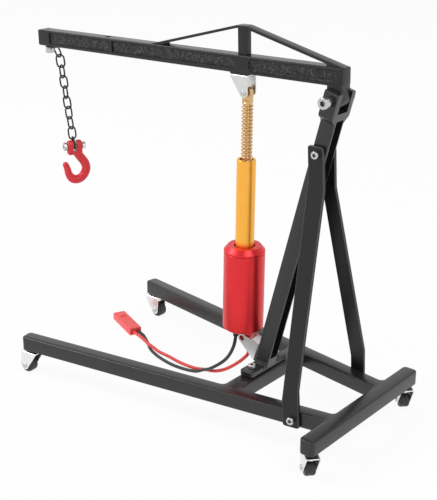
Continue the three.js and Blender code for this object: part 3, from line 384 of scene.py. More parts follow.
def lathe(profile, sides=72, ripple=None):
    # A turned piece about Z from (radius, height) points; ripple changes a point's radius by its angle.
    edit = bmesh.new()
    rings = []
    for radius, height in profile:
        if radius < 1e-6:
            rings.append([edit.verts.new((0, 0, height))])
            continue
        ring = []
        for side in range(sides):
            angle = 2 * pi * side / sides
            reach = ripple(radius, height, angle) if ripple else radius
            ring.append(edit.verts.new((reach * cos(angle), reach * sin(angle), height)))
        rings.append(ring)
    for low, high in zip(rings, rings[1:]):
        for side in range(sides):
            after = (side + 1) % sides
            corners = []
            for vert in (low[side % len(low)], low[after % len(low)],
                         high[after % len(high)], high[side % len(high)]):
                if vert not in corners:
                    corners.append(vert)
            if len(corners) > 2:
                edit.faces.new(corners)
    return meshOf(edit, "lathe")


def block(width, depth, height, middle=(0, 0, 0)):
    mesh = bpy.data.meshes.new("block")
    edit = bmesh.new()
    bmesh.ops.create_cube(edit, size=1.0)
    edit.to_mesh(mesh)
    edit.free()
    mesh.transform(Matrix.Translation(middle) @ Matrix.Diagonal((width, depth, height, 1)))
    return mesh


def rod(radius, length, axis="Z", sides=40):
    mesh = lathe([(0, -length / 2), (radius, -length / 2), (radius, length / 2), (0, length / 2)], sides)
    if axis == "X":
        mesh.transform(spin(pi / 2, "Y"))
    return mesh


def moved(mesh, matrix):
    mesh.transform(matrix)
    return mesh


def combined(first, *others):
    # Joins or cuts in turn: others are pairs of an operation and a mesh.
    holder = bpy.data.objects.new("combined", first)
    helpers = []
    for operation, mesh in others:
        helper = bpy.data.objects.new("helper", mesh)
        scene.collection.objects.link(helper)
        helpers.append(helper)
        step = holder.modifiers.new(operation, "BOOLEAN")
        step.operation = operation
        step.solver = "EXACT"
        step.object = helper
    result = evaluatedMesh(holder)
    for helper in helpers:
        source = helper.data
        bpy.data.objects.remove(helper)
        bpy.data.meshes.remove(source)
    return tidied(result)


def merged(*meshes):
    edit = bmesh.new()
    for mesh in meshes:
        edit.from_mesh(mesh)
    result = bpy.data.meshes.new("merged")
    edit.to_mesh(result)
    edit.free()
    return result


def setPiece(name, mesh, material, body, replaced=(), place=None, rim=0.0, rimSteps=2, rimAngle=30,
             smooth=38, second=None, secondFaces=None, paintedRimHighlight=None):
    # secondFaces picks the faces of the second look by middle and normal, in the mesh's own millimetres.
    chosen = [face.index for face in mesh.polygons if second and secondFaces(face.center, face.normal)]
    mesh.transform(Matrix.Scale(millimetre, 4) @ (place or Matrix.Identity(4)))
    mesh.name = name
    piece = bpy.data.objects.new(name, mesh)
    scene.collection.objects.link(piece)
    mesh.materials.clear()
    mesh.materials.append(material)
    if chosen:
        mesh.materials.append(second)
        for index in chosen:
            mesh.polygons[index].material_index = 1
    mesh.shade_smooth()
    if rim:
        rounding = piece.modifiers.new("rim", "BEVEL")
        rounding.width = rim * millimetre
        rounding.segments = rimSteps
        rounding.limit_method = "ANGLE"
        rounding.angle_limit = radians(rimAngle)
        rounding.harden_normals = True
        # Painted highlight: the bevel's rim faces take a lighter material, standing in for light caught on
        # the edges
        if paintedRimHighlight:
            mesh.materials.append(paintedRimHighlight)
            rounding.material = len(mesh.materials) - 1
    else:
        mesh.set_sharp_from_angle(angle=radians(smooth))
    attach(piece, body)
    if replaced:
        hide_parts(*([replaced] if isinstance(replaced, str) else replaced))
    return piece


def turnedTo(axis):
    return {"X": spin(pi / 2, "Y"), "-X": spin(-pi / 2, "Y"), "Z": Matrix.Identity(4),
            "-Z": spin(pi, "X")}[axis]


sideways = Matrix(((0, 0, 1, 0), (1, 0, 0, 0), (0, 1, 0, 0), (0, 0, 0, 1)))
facing = Matrix(((1, 0, 0, 0), (0, 0, -1, 0), (0, 1, 0, 0), (0, 0, 0, 1)))


# Wires first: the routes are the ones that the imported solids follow

wires = {
    "radius": 0.9,
    "red": [(-1.4, 26.2, 39.7), (-1.4, 26.4, 36), (-1.4, 28.1, 32.3), (-1.1, 31.2, 30), (-0.6, 33.4, 27.8),
            (-0.3, 33.2, 25.2), (-0.1, 30.8, 22.2), (0, 27.5, 18.9), (0, 19.3, 12.4), (-0.2, 12, 8.7),
            (-2.4, 1.8, 5.6), (-2.7, -4.1, 4.2), (-4.5, -16.6, 3), (-7.1, -27, 2.4), (-7.9, -35.4, 2.6),
            (-9, -40.2, 3.1), (-10.8, -45.7, 3.1), (-15.6, -56.2, 2.6), (-18.5, -64.3, 2.2)],
    "black": [(1.2, 26.5, 39.7), (1.2, 26.5, 34), (1.4, 25.2, 27.5), (1, 20, 18.8), (1.4, 10, 10.3),
              (0.1, 3.6, 6.8), (-0.3, -2, 4), (-1.9, -14.4, 1.5), (-3.1, -23.5, 0.95), (-5.3, -33, 0.95),
              (-9.2, -42.4, 0.95), (-16.2, -51.9, 1), (-19.6, -58, 1.7), (-21.1, -63.3, 2.2)],
    "sleeveRadius": 1.35, "sleeveLength": 5.5,
}
plugShape = {"length": 25.4, "width": 7.4, "height": 4.4, "corner": 0.6, "recess": 1.6, "wall": 1.0,
             "place": (-25.3, -76), "heading": -24.5}


def smoothRoute(points, perSpan=6):
    # Centripetal curve through the points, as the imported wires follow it.
    line = [Vector(point) for point in points]
    line = [line[0] * 2 - line[1], *line, line[-1] * 2 - line[-2]]
    result = []
    for before, start, end, after in zip(line, line[1:], line[2:], line[3:]):
        gaps = [max((b - a).length ** 0.5, 1e-4) for a, b in ((before, start), (start, end), (end, after))]
        leave = (start - before) / gaps[0] - (end - before) / (gaps[0] + gaps[1]) + (end - start) / gaps[1]
        arrive = (end - start) / gaps[1] - (after - start) / (gaps[1] + gaps[2]) + (after - end) / gaps[2]
        leave, arrive = leave * gaps[1], arrive * gaps[1]
        for step in range(perSpan):
            t = step / perSpan
            result.append(start * (2 * t ** 3 - 3 * t ** 2 + 1) + leave * (t ** 3 - 2 * t ** 2 + t)
                          + end * (3 * t ** 2 - 2 * t ** 3) + arrive * (t ** 3 - t ** 2))
    result.append(line[-2])
    return result


def addWire(name, node, points, material):
    route = [point * millimetre for point in smoothRoute(points)]
    curve = bpy.data.curves.new(name, "CURVE")
    curve.dimensions = "3D"
    spline = curve.splines.new("POLY")
    spline.points.add(len(route) - 1)
    for knot, point in zip(spline.points, route):
        knot.co = (*point, 1)
    curve.bevel_depth = wires["radius"] * millimetre
    curve.bevel_resolution = 6
    curve.use_fill_caps = True
    curve.materials.append(material)
    piece = bpy.data.objects.new(name, curve)
    scene.collection.objects.link(piece)
    for item in curve.splines:
        item.use_smooth = True
    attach(piece, "base")
    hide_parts(node)
    return piece


def addPlug(shape):
    half, height, wall = shape["width"] / 2, shape["height"], shape["wall"]
    body = moved(plate(outline(boxCorners(-half, half, 0, height, shape["corner"]), 4),
                       shape["length"]), facing)
    mouth = block(shape["width"] - 2 * wall, 2 * shape["recess"], height - 2 * wall,
                  (0, shape["length"] / 2, height / 2))
    latch = block(shape["width"] * 0.5, shape["length"] * 0.3, wall, (0, -shape["length"] * 0.12, height))
    ribs = [cutBy(block(0.5, shape["length"] * 0.34, 0.3, (side * half, shape["length"] * 0.2, height / 2)))
            for side in (-1, 1)]
    place = Matrix.Translation((*shape["place"], 0)) @ spin(radians(shape["heading"]), "Z")
    return setPiece("plugBody", combined(body, cutBy(mouth), cutBy(latch), *ribs), plugRed, "base",
                    "connector", place, rim=0.18, rimAngle=50)


plugBody = addPlug(plugShape)
redWire = addWire("redWire", "red_wire", wires["red"], siliconeRed)
blackTop = wires["black"][0]
sleeveWall = [(wires["radius"] + 0.1, 0), (wires["sleeveRadius"] - 0.15, 0), (wires["sleeveRadius"], 0.15),
              (wires["sleeveRadius"], wires["sleeveLength"] - 0.1),
              (wires["sleeveRadius"] - 0.1, wires["sleeveLength"]),
              (wires["radius"] + 0.1, wires["sleeveLength"]), (wires["radius"] + 0.1, 0)]
wireSleeve = setPiece("wireSleeve", lathe(sleeveWall, 32), siliconeBlack, "base",
                      "wire_sleeve", at(blackTop[0], blackTop[1], blackTop[2] - wires["sleeveLength"]))
blackWire = addWire("blackWire", "black_wire", wires["black"], siliconeBlack)
print("wires and plug made")


# Base frame and mast

baseShape = {"depth": 8.0, "rimRadius": 0.8, "legWidth": 7.63, "rearSpread": 21.69, "frontReach": 79.6,
             "rearBarFront": 98.76, "rearBarWidth": 8.0, "rearBarHalf": 47.0, "frontBarWidth": 9.3,
             "frontBarAhead": 0.45, "splay": radians(9.16), "corner": 2.2,
             "underside": 13.6, "crown": 0.16, "crownInset": 1.25}
mastShape = {"pivotRear": 82.3, "pivotHeight": 167.1, "lean": radians(14.8), "width": 7.5, "depth": 8.0,
             "rim": 0.5, "wall": 0.95, "web": 2.4, "forkWidth": 14.4, "forkSlot": 7.8, "forkTop": 4.5,
             "forkBottom": 8.1, "forkTaper": 3.0, "forkCorners": (2.5, 2.0, 1.2), "forkFloor": 5.5,
             "forkFloorThickness": 3.8, "slotDepth": 30, "grooveCorners": (0.95, 0.6),
             "cutSpan": 40, "cutDepth": 8, "screwSide": 10,
             "flangeHalf": 15, "flangeWidth": 7.9, "flangeThickness": 3.0, "flangeCorner": 1.4,
             "flangeGap": 0.15, "footHeight": 5.0, "footDepth": 3.3,
             "footSteps": ((5.65, 0), (4.6, 0.35), (3.9, 0.65), (3.5, 1))}
frameTop = baseShape["underside"] + baseShape["depth"]
mastFoot = mastShape["pivotRear"] - (mastShape["pivotHeight"] - frameTop) * tan(mastShape["lean"])
legHalf = baseShape["legWidth"] / 2 / cos(baseShape["splay"])
outOfLeg = Vector((cos(baseShape["splay"]), sin(baseShape["splay"])))


def legX(rear):
    return baseShape["rearSpread"] + (baseShape["rearBarFront"] - rear) * tan(baseShape["splay"])


def crowned(mesh, inset, rise):
    # Lifts the inside of the top face, so that the shaded edge rolls off as on the real casting.
    edit = bmesh.new()
    edit.from_mesh(mesh)
    level = max(vert.co.z for vert in edit.verts)
    top = [face for face in edit.faces if face.normal.z > 0.99
           and face.calc_center_median().z > level - 0.001]
    bmesh.ops.inset_region(edit, faces=top, thickness=inset, depth=rise, use_even_offset=True)
    edit.to_mesh(mesh)
    edit.free()
    return mesh


def addBaseFrame(shape):
    corner, crown = shape["corner"], shape["crown"]
    end = Vector((legX(-shape["frontReach"]), -shape["frontReach"]))
    inner, outer = end - outOfLeg * shape["legWidth"] / 2, end + outOfLeg * shape["legWidth"] / 2
    frontBar = mastFoot - shape["frontBarWidth"] * shape["frontBarAhead"]
    rearBar = shape["rearBarFront"] + shape["rearBarWidth"]
    near = [(legX(frontBar) - legHalf, frontBar, corner), (*inner, corner), (*outer, corner),
            (legX(shape["rearBarFront"]) + legHalf, shape["rearBarFront"], corner),
            (shape["rearBarHalf"], shape["rearBarFront"], corner), (shape["rearBarHalf"], rearBar, corner)]
    bayFront = frontBar + shape["frontBarWidth"]
    bay = [(legX(bayFront) - legHalf, bayFront, corner),
           (legX(shape["rearBarFront"]) - legHalf, shape["rearBarFront"], corner)]
    plan, hole = (outline(half + [(-x, y, r) for x, y, r in reversed(half)]) for half in (near, bay))
    casting = crowned(plate(plan, shape["depth"] - crown, shape["rimRadius"], [hole], 5),
                      shape["crownInset"], crown)
    setPiece("baseFrame", casting, castBlack, "base", "base_frame",
             at(0, 0, shape["underside"] + (shape["depth"] - crown) / 2), smooth=50)


addBaseFrame(baseShape)
mastPlace = at(0, mastShape["pivotRear"], mastShape["pivotHeight"]) @ spin(-mastShape["lean"], "X")


def addMast(shape):
    intoMast = mastPlace.inverted()
    length = (shape["pivotHeight"] - frameTop) / cos(shape["lean"]) + 2
    lean, rise = shape["lean"], shape["footHeight"]
    half, forkHalf = shape["width"] / 2, shape["forkWidth"] / 2
    neck, shoulder, tip = shape["forkCorners"]
    side = [(half, -length), (half, -shape["forkBottom"] - shape["forkTaper"], neck),
            (forkHalf, -shape["forkBottom"], shoulder), (forkHalf, shape["forkTop"], tip)]
    body = moved(plate(outline(side + [(-p[0], *p[1:]) for p in reversed(side)]), shape["depth"],
                       shape["rim"], (), 3), facing)
    slotHeight = shape["forkTop"] + shape["forkFloor"] + 2
    slot = block(shape["forkSlot"], shape["slotDepth"], slotHeight,
                 (0, 0, slotHeight / 2 - shape["forkFloor"]))
    grooveTop = -shape["forkFloor"] - shape["forkFloorThickness"]
    grooveBottom = -(shape["pivotHeight"] - frameTop - shape["flangeThickness"] - rise) / cos(lean)
    grooveHalf = half - shape["wall"]
    lowCorner, highCorner = shape["grooveCorners"]
    grooveEdge = outline([(-grooveHalf, grooveBottom, lowCorner), (grooveHalf, grooveBottom, lowCorner),
                          (grooveHalf, grooveTop, highCorner), (-grooveHalf, grooveTop, highCorner)])
    groove = moved(plate(grooveEdge, shape["depth"]), at(0, shape["web"], 0) @ facing)
    flangeMiddle = frameTop + shape["flangeGap"] + shape["flangeThickness"] / 2
    flangeHalf, flangeDeep = shape["flangeHalf"], shape["flangeWidth"] / 2
    flangeEdge = outline(boxCorners(-flangeHalf, flangeHalf, -flangeDeep, flangeDeep, shape["flangeCorner"]),
                         12)
    flange = moved(plate(flangeEdge, shape["flangeThickness"], shape["rim"], (), 4),
                   intoMast @ at(0, mastFoot, flangeMiddle))
    foot = bpy.data.meshes.new("foot")
    corners = [(x * wide, y * shape["footDepth"] + tan(lean) * rise * share, rise * share)
               for wide, share in shape["footSteps"] for x, y in ((-1, -1), (1, -1), (1, 1), (-1, 1))]
    faces = [(3, 2, 1, 0), (12, 13, 14, 15)] + [
        (level * 4 + k, level * 4 + (k + 1) % 4, level * 4 + 4 + (k + 1) % 4, level * 4 + 4 + k)
        for level in range(3) for k in range(4)]
    foot.from_pydata(corners, [], faces)
    foot.transform(intoMast @ at(0, mastFoot + tan(lean) * shape["flangeThickness"], flangeMiddle))
    floorCut = block(shape["cutSpan"], shape["cutSpan"], shape["cutDepth"])
    floorCut.transform(intoMast @ at(0, mastFoot, flangeMiddle - shape["cutDepth"] / 2))
    casting = combined(body, cutBy(slot), cutBy(groove), cutBy(floorCut), joinTo(flange), joinTo(foot))

    # Painted light: the rounded rims and the rear-facing faces take the lighter black, a painted highlight
    # for light caught on edges and on the lit rear side
    def worn(middle, normal):
        rim = 0.3 < abs(normal.y) < 0.92 and abs(normal.z) < 0.7
        return rim or (normal.y > 0.9 and middle.y > shape["depth"] / 2 - 1)

    setPiece("mastCasting", casting, castBlack, "base", "mast", mastPlace, smooth=42,
             second=paintedEdgeHighlight, secondFaces=worn)


addMast(mastShape)
print("base frame and mast made")


# Braces and boom

braceShape = {"thickness": 1.7, "width": 8.5, "footRear": 82.55, "top": 144.9, "topAhead": 0.9, "corner": 1.3,
              "lowBend": 30.2, "lowSkew": 6.5, "highBend": 126.6, "highSkew": -5.2, "gap": 0.15,
              "screwHeight": 141.2, "screwRise": 4.2, "overlap": 1.1, "trimSpan": 64, "trimSide": 24,
              "bore": 1.25}


def onMast(height):
    return mastShape["pivotRear"] - (mastShape["pivotHeight"] - height) * tan(mastShape["lean"])


def legScrewPlace(side):
    rear = braceShape["footRear"]
    outward = Vector((side * outOfLeg.x, outOfLeg.y, 0))
    across = Vector((0, 0, 1)).cross(outward)
    place = at(side * (legX(rear) + legHalf), rear, baseShape["underside"] + braceShape["screwRise"])
    return place @ Matrix((across, (0, 0, 1), outward)).transposed().to_4x4()


def addBrace(side, word, shape):
    # A flat bar bent twice: along the leg, across to the mast, and along the mast's cheek.
    foot, half = shape["footRear"], shape["width"] / 2
    topRear = onMast(shape["screwHeight"]) - shape["topAhead"]
    low, high = baseShape["underside"], shape["top"]
    corners = []
    for height, skew, atLeg in ((low, 0, True), (shape["lowBend"], shape["lowSkew"], True),
                                (shape["highBend"], shape["highSkew"], False), (high, 0, False)):
        for edge in (-0.5, 0.5):
            z = height + edge * skew
            y = foot + (topRear - foot) * (z - low) / (high - low) + edge * shape["width"] * shape["overlap"]
            inner = (legX(y) + legHalf if atLeg else mastShape["width"] / 2) + shape["gap"]
            corners += [(side * inner, y, z), (side * (inner + shape["thickness"]), y, z)]
    faces = [(0, 1, 3, 2), (12, 14, 15, 13)]
    for row in (0, 4, 8):
        faces += [(row + a, row + b, row + b + 4, row + a + 4) for a, b in ((0, 1), (1, 3), (3, 2), (2, 0))]
    bar = bpy.data.meshes.new("bar")
    bar.from_pydata(corners, [], faces)
    edit = bmesh.new()
    edit.from_mesh(bar)
    bmesh.ops.recalc_face_normals(edit, faces=edit.faces)
    edit.to_mesh(bar)
    edit.free()
    blank = outline([(foot - half, low, shape["corner"]), (foot + half, low, shape["corner"]),
                     (topRear + half, high, shape["corner"]), (topRear - half, high, shape["corner"])], 6)
    trim = moved(plate(blank, shape["trimSpan"]), at(side * shape["trimSide"], 0, 0) @ sideways)
    topBore = moved(rod(shape["bore"], 30, "X"),
                    at(side * 7.5, onMast(shape["screwHeight"]), shape["screwHeight"]))
    footBore = moved(rod(shape["bore"], 20), legScrewPlace(side))
    bar = combined(bar, ("INTERSECT", trim), cutBy(topBore), cutBy(footBore))
    # Painted highlight: the brace's rounded rims take the lighter black
    setPiece("brace" + word.capitalize(), bar, barBlack, "base", "brace_" + word,
             rim=0.3, rimSteps=3, rimAngle=32, paintedRimHighlight=paintedEdgeHighlight)


boomShape = {"droop": radians(1.485), "width": 7.4, "bottom": 6.1, "height": 8.4, "tail": 4.1,
             "reach": 190.7, "edge": 0.55, "tipCorner": 0.9, "tipBlock": 8.6, "ribStart": 135.7,
             "ribWidth": 2.8, "frontPocket": 56.0, "rearPocket": (-1.5, 48.0), "topLip": 1.1,
             "lipAtTip": 1.3, "lipAtPost": 2.3, "lipAtRear": 1.3, "ledge": 1.5, "shallow": 0.35,
             "deep": 0.7, "post": (49.9, 55.2), "postDepth": 3.7, "rise": 13.8, "trussFront": 109.6,
             "frontWedge": 8.3, "rearWedge": 9.1, "strap": 1.4, "strapWidth": 5.2, "sink": 0.3,
             "pad": (47.5, 58.7), "padThickness": 0.5, "lug": 3.85, "liftHole": 141.5, "liftRadius": 1.7,
             "chainBore": 186.0, "clevisBore": 53.8, "pivotBore": 1.75, "screwBore": 1.25,
             "boreLength": 9.6, "dimple": 0.75, "peakCorner": 1.2, "rim": 0.16, "inset": 0.03, "snug": 0.5,
             "innerCorner": 1.6, "trussEdge": 0.22, "postEdge": 0.35, "lugEdge": 0.3, "padEdge": 0.2}
boomPlace = at(0, mastShape["pivotRear"], mastShape["pivotHeight"]) @ spin(boomShape["droop"], "X")


def boomSlab(corners, width, edge=0.0, steps=6, holes=()):
    # A slab across the boom from (forward, up) corners.
    loops = [outline([(-corner[0], *corner[1:]) for corner in loop], steps) for loop in (corners, *holes)]
    return moved(plate(loops[0], width, edge, loops[1:], 3), sideways)


def addBoom(shape):
    low, top, tail, edge = shape["bottom"], shape["bottom"] + shape["height"], shape["tail"], shape["edge"]
    tip, width, sink, strap, snug = (shape[key] for key in ("reach", "width", "sink", "strap", "snug"))
    beam = boomSlab(boxCorners(-tail, tip, low, top, shape["tipCorner"]), width, edge)
    peak, (postRear, postFront), front = top + shape["rise"], shape["post"], shape["trussFront"]
    frontSlope = shape["rise"] / (front - postFront)
    rearSlope = shape["rise"] / (postRear + tail)
    frontEnd, rearEnd, rear = front - shape["frontWedge"], shape["rearWedge"] - tail, shape["inset"] - tail
    sunk, bend = top - sink, shape["peakCorner"]
    opening = [(rearEnd, sunk), (frontEnd, sunk), (frontEnd, top + shape["frontWedge"] * frontSlope - strap),
               (postFront, peak - strap), (postRear, peak - strap),
               (rearEnd, top + shape["rearWedge"] * rearSlope - strap)]
    truss = boomSlab([(rear, sunk - 2 * sink), (front, sunk - 2 * sink), (front, top),
                      (postFront, peak, bend), (postRear, peak, bend), (rear, top)], shape["strapWidth"],
                     shape["trussEdge"], holes=[opening])
    post = boomSlab(boxCorners(postRear, postFront, sunk - sink, peak - 2 * sink), shape["postDepth"],
                    shape["postEdge"])
    lug = boomSlab([(-shape["lug"], low + edge), (-shape["lug"], -shape["lug"], shape["lug"] * 0.98),
                    (shape["lug"], -shape["lug"], shape["lug"] * 0.98), (shape["lug"], low + edge)],
                   width - 0.04, shape["lugEdge"], 10)
    pad = boomSlab(boxCorners(*shape["pad"], low - shape["padThickness"], low + edge), width - 0.06,
                   shape["padEdge"])
    high, tipEnd = top - shape["topLip"], tip - shape["tipBlock"]

    def lip(forward):
        share = (forward - shape["frontPocket"]) / (tipEnd - shape["frontPocket"])
        return low + shape["lipAtPost"] + (shape["lipAtTip"] - shape["lipAtPost"]) * share

    recesses = [([(a, lip(a), snug), (b, lip(b), snug), (b, high, snug), (a, high, snug)], shape["deep"])
                for a, b in ((shape["frontPocket"], shape["ribStart"]),
                             (shape["ribStart"] + shape["ribWidth"], tipEnd))]
    (start, stop), level = shape["rearPocket"], low + shape["lipAtRear"]
    full = (high - low - shape["lipAtRear"]) / 2 * 0.96
    recesses += [(boxCorners(start, stop, level, high, full), shape["shallow"]),
                 (boxCorners(start + 1, stop - 0.6, level + shape["ledge"], high - 0.25,
                             shape["innerCorner"]), shape["deep"])]
    cuts = [cutBy(moved(boomSlab(corners, 2 * depth), at(side * width / 2, 0, 0)))
            for corners, depth in recesses for side in (-1, 1)]
    cuts.append(cutBy(rod(shape["pivotBore"], 20, "X")))
    screwBore, boreLength = shape["screwBore"], shape["boreLength"]
    bores = [(shape["liftHole"], top, shape["liftRadius"], 30),
             (shape["chainBore"], low, screwBore, boreLength),
             (shape["clevisBore"], low, screwBore, boreLength),
             (shape["chainBore"], top, shape["dimple"], 1.2)]
    cuts += [cutBy(moved(rod(radius, length), at(0, -forward, height)))
             for forward, height, radius, length in bores]
    casting = combined(beam, joinTo(truss), joinTo(post), joinTo(lug), joinTo(pad), *cuts)
    floors = [width / 2 - shape["deep"], width / 2 - shape["shallow"]]

    def inPocket(middle, normal):
        onFloor = abs(normal.x) > 0.95 and min(abs(abs(middle.x) - floor) for floor in floors) < 0.05
        return onFloor and low + 1 < middle.z < top - 1

    # Painted highlight: the boom's rounded rims take the lighter black
    setPiece("boomCasting", casting, boomBlack, "boom_arm", "boom", boomPlace,
             rim=shape["rim"], rimAngle=52, second=pocketBlack, secondFaces=inPocket, paintedRimHighlight=paintedEdgeHighlight)


addBrace(1, "near", braceShape)
addBrace(-1, "far", braceShape)
addBoom(boomShape)
print("braces and boom made")


# Screws, nuts and washers

def screwMesh(head, height, shank, length, socket, knurls=32):
    # A cap screw: its seat is at zero and its head upward, with a knurled side and a hexagon socket.
    sides = 96

    def knurl(radius, level, angle):
        inside = 0.05 * height < level < height - 0.2 and radius > head * 0.97
        return radius * (1 + 0.012 * cos(knurls * angle)) if inside else radius

    def hexagon(radius, level, angle):
        return radius * cos(pi / 6) / cos((angle % (pi / 3)) - pi / 6)

    def ripple(radius, level, angle):
        return hexagon(radius, level, angle) if abs(radius - socket) < 1e-6 else knurl(radius, level, angle)

    deep = height * 0.42
    return lathe([(0, -length), (shank * 0.8, -length), (shank, -length + 0.3), (shank, 0), (head - 0.05, 0),
                  (head, 0.12), (head, height * 0.3), (head, height * 0.6), (head, height - 0.3),
                  (head - 0.08, height - 0.12), (head - 0.25, height),
                  (socket * 1.13, height), (socket, height - 0.08), (socket, deep), (socket * 0.5, deep),
                  (0, deep - 0.25)], sides, ripple)


def nutMesh(corner, bore, height):
    sides, cut = 96, corner * 0.93

    def hexagon(radius, level, angle):
        flat = corner * cos(pi / 6) / cos((angle % (pi / 3)) - pi / 6)
        return radius if radius < cut * 0.8 else min(radius, flat)

    return lathe([(bore, 0), (cut, 0), (corner, height * 0.14), (corner, height * 0.86), (cut, height),
                  (bore + 0.25, height), (bore, height - 0.2), (bore, 0)], sides, hexagon)


def washerMesh(outer, bore, thickness):
    half = thickness / 2
    return lathe([(bore, -half), (outer - 0.08, -half), (outer, -half + 0.08), (outer, half - 0.08),
                  (outer - 0.08, half), (bore, half), (bore, -half)], 64)


smallHead = {"head": 1.9, "shank": 1.0, "socket": 0.98}
largeHead = {"head": 2.3, "shank": 1.0, "socket": 1.05}
screws = {"mastFoot": {**smallHead, "height": 2.0, "length": 7},
          "braceTop": {**smallHead, "height": 2.0, "length": 3.8},
          "braceBottom": {**smallHead, "height": 2.0, "length": 4.7},
          "boomPivot": {"head": 2.75, "height": 2.9, "shank": 1.5, "socket": 1.42, "length": 15.9 + 2.4,
                        "collar": 2.1, "collarLength": 2.4},
          "chain": {**largeHead, "height": 2.1, "length": 7.2},
          "caster": {**smallHead, "height": 2.4, "length": 5.6},
          "upperClevis": {**smallHead, "height": 1.6, "length": 4.8},
          "lowerClevis": {**smallHead, "height": 1.4, "length": 2.4},
          "hook": {**largeHead, "height": 1.9, "length": 10.4}}
nuts = {"boomPivot": (3.02, 1.72, 2.4), "hook": (2.2, 1.22, 1.7)}
seat = 0.3
chainScrewLevel = 6.5 - 2.45


def addScrew(name, shape, place, body):
    # The piece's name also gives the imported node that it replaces.
    node = "".join("_" + letter.lower() if letter.isupper() else letter for letter in name)
    mesh = screwMesh(shape["head"], shape["height"], shape["shank"], shape["length"], shape["socket"])
    rise = shape["height"] - 0.1

    def inSocket(middle, normal):
        return 0.1 < middle.z < rise and hypot(middle.x, middle.y) < shape["socket"] * 1.02

    if "collar" in shape:
        collar, lift = shape["collar"], shape["collarLength"]
        mesh.transform(at(0, 0, lift))
        mesh = merged(mesh, lathe([(shape["shank"], 0), (collar - 0.15, 0), (collar, 0.15), (collar, lift),
                                   (shape["shank"], lift)], 48))
        rise += lift
    return setPiece(name, mesh, screwZinc, body, node, place, smooth=32,
                    second=socketShade, secondFaces=inSocket)


for side, word in ((1, "Near"), (-1, "Far")):
    cheek = mastShape["width"] / 2 + braceShape["thickness"] + seat
    braceTop = at(side * cheek, onMast(braceShape["screwHeight"]), braceShape["screwHeight"])
    outward = turnedTo("X" if side > 0 else "-X")
    braceBottom = legScrewPlace(side) @ at(0, 0, braceShape["thickness"] + seat)
    footTop = frameTop + mastShape["flangeThickness"] + seat
    addScrew("mastFootScrew" + word, screws["mastFoot"], at(side * mastShape["screwSide"], mastFoot, footTop),
             "base")
    addScrew("braceTopScrew" + word, screws["braceTop"], braceTop @ outward, "base")
    addScrew("braceBottomScrew" + word, screws["braceBottom"], braceBottom, "base")

pivotSeat = mastShape["forkWidth"] / 2 + 0.15
addScrew("boomPivotScrew", screws["boomPivot"],
         at(pivotSeat, mastShape["pivotRear"], mastShape["pivotHeight"]) @ turnedTo("X"), "base")
setPiece("boomPivotNut", nutMesh(*nuts["boomPivot"]), screwZinc, "base", "boom_pivot_nut",
         at(-pivotSeat, mastShape["pivotRear"], mastShape["pivotHeight"]) @ turnedTo("-X"), smooth=32)
addScrew("chainScrew", screws["chain"],
         boomPlace @ at(0, -boomShape["chainBore"], chainScrewLevel) @ turnedTo("-Z"), "boom_arm")
print("screws and nuts made")


# Stamped brackets and casters

bracketShape = {"sheet": 0.6, "width": 7.2, "length": 10.4, "bend": 0.9, "ear": 2.3, "rim": 0.09,
                "screwBore": 1.25, "screwSink": 0.75}
plateMiddle = bracketShape["length"] / 2 - bracketShape["ear"]


def bracketMesh(shape, drop):
    half, sheet, ear, bend = shape["width"] / 2, shape["sheet"], shape["ear"], shape["bend"]
    low = -ear - 2
    channel = moved(plate(outline([
        (-half, low), (half, low), (half, drop, bend), (-half, drop, bend)], 8), 30), facing)
    room = moved(plate(outline([
        (sheet - half, low - 1), (half - sheet, low - 1), (half - sheet, drop - sheet, bend - sheet + 0.15),
        (sheet - half, drop - sheet, bend - sheet + 0.15)], 6), 34), facing)
    far = shape["length"] - ear
    tangent = atan2(drop, far) - acos(ear / hypot(drop, far))
    side = [Vector((far, drop - 0.5)), Vector((far, drop + 2)), Vector((-ear, drop + 2))]
    side += [Vector((ear * cos(angle), ear * sin(angle))) for angle in
             (pi + (tangent + pi) * step / 20 for step in range(21))]
    ears = moved(plate(side, shape["width"] + 4), sideways)
    bore = moved(rod(shape["screwBore"], 4), at(0, plateMiddle, drop))
    return combined(channel, cutBy(room), ("INTERSECT", ears), cutBy(bore))


def rivetMesh(shank, reach, head=1.5, rise=0.7):
    # A peened pin along X: a domed head with a small dimple outside each ear.
    crown = [(0, -rise * 0.82), (head * 0.3, -rise * 0.9), (head * 0.5, -rise), (head * 0.78, -rise * 0.8),
             (head * 0.95, -rise * 0.4), (head, 0)]
    profile = [(radius, height - reach) for radius, height in crown]
    profile += [(shank, -reach + 0.02), (shank, reach - 0.02)]
    profile += [(radius, reach - height) for radius, height in reversed(crown)]
    return moved(lathe(profile, 40), turnedTo("X"))


casterShape = {"wheelRadius": 4.2, "wheelWidth": 5.3, "edge": 1.1, "drop": 8.6, "pinShank": 0.75,
               "washer": 3.1, "washerBore": 1.1, "washerThickness": 0.5, "washerHeight": 13.2}
casterPlaces = {"front_near": (49.8, -75.4, 3), "front_far": (-49.8, -75.4, 178),
                "rear_near": (42.3, 102.76, -42), "rear_far": (-42.3, 102.76, -46)}


def wheelMesh(shape):
    half, radius, edge = shape["wheelWidth"] / 2, shape["wheelRadius"], shape["edge"]
    rim = [(radius - edge + edge * sin(step * pi / 16), -half + edge - edge * cos(step * pi / 16))
           for step in range(9)]
    hub = [(1.0, -half), (1.55, -half), (1.65, -half + 0.22), (2.3, -half + 0.3), (2.45, -half + 0.05)]
    profile = [(1.0, 0), *hub, *rim, (radius, -0.12), (radius - 0.07, 0), (radius, 0.12)]
    profile += [(r, -z) for r, z in reversed(hub + rim)] + [(1.0, 0)]
    return moved(lathe(profile, 72), turnedTo("X"))


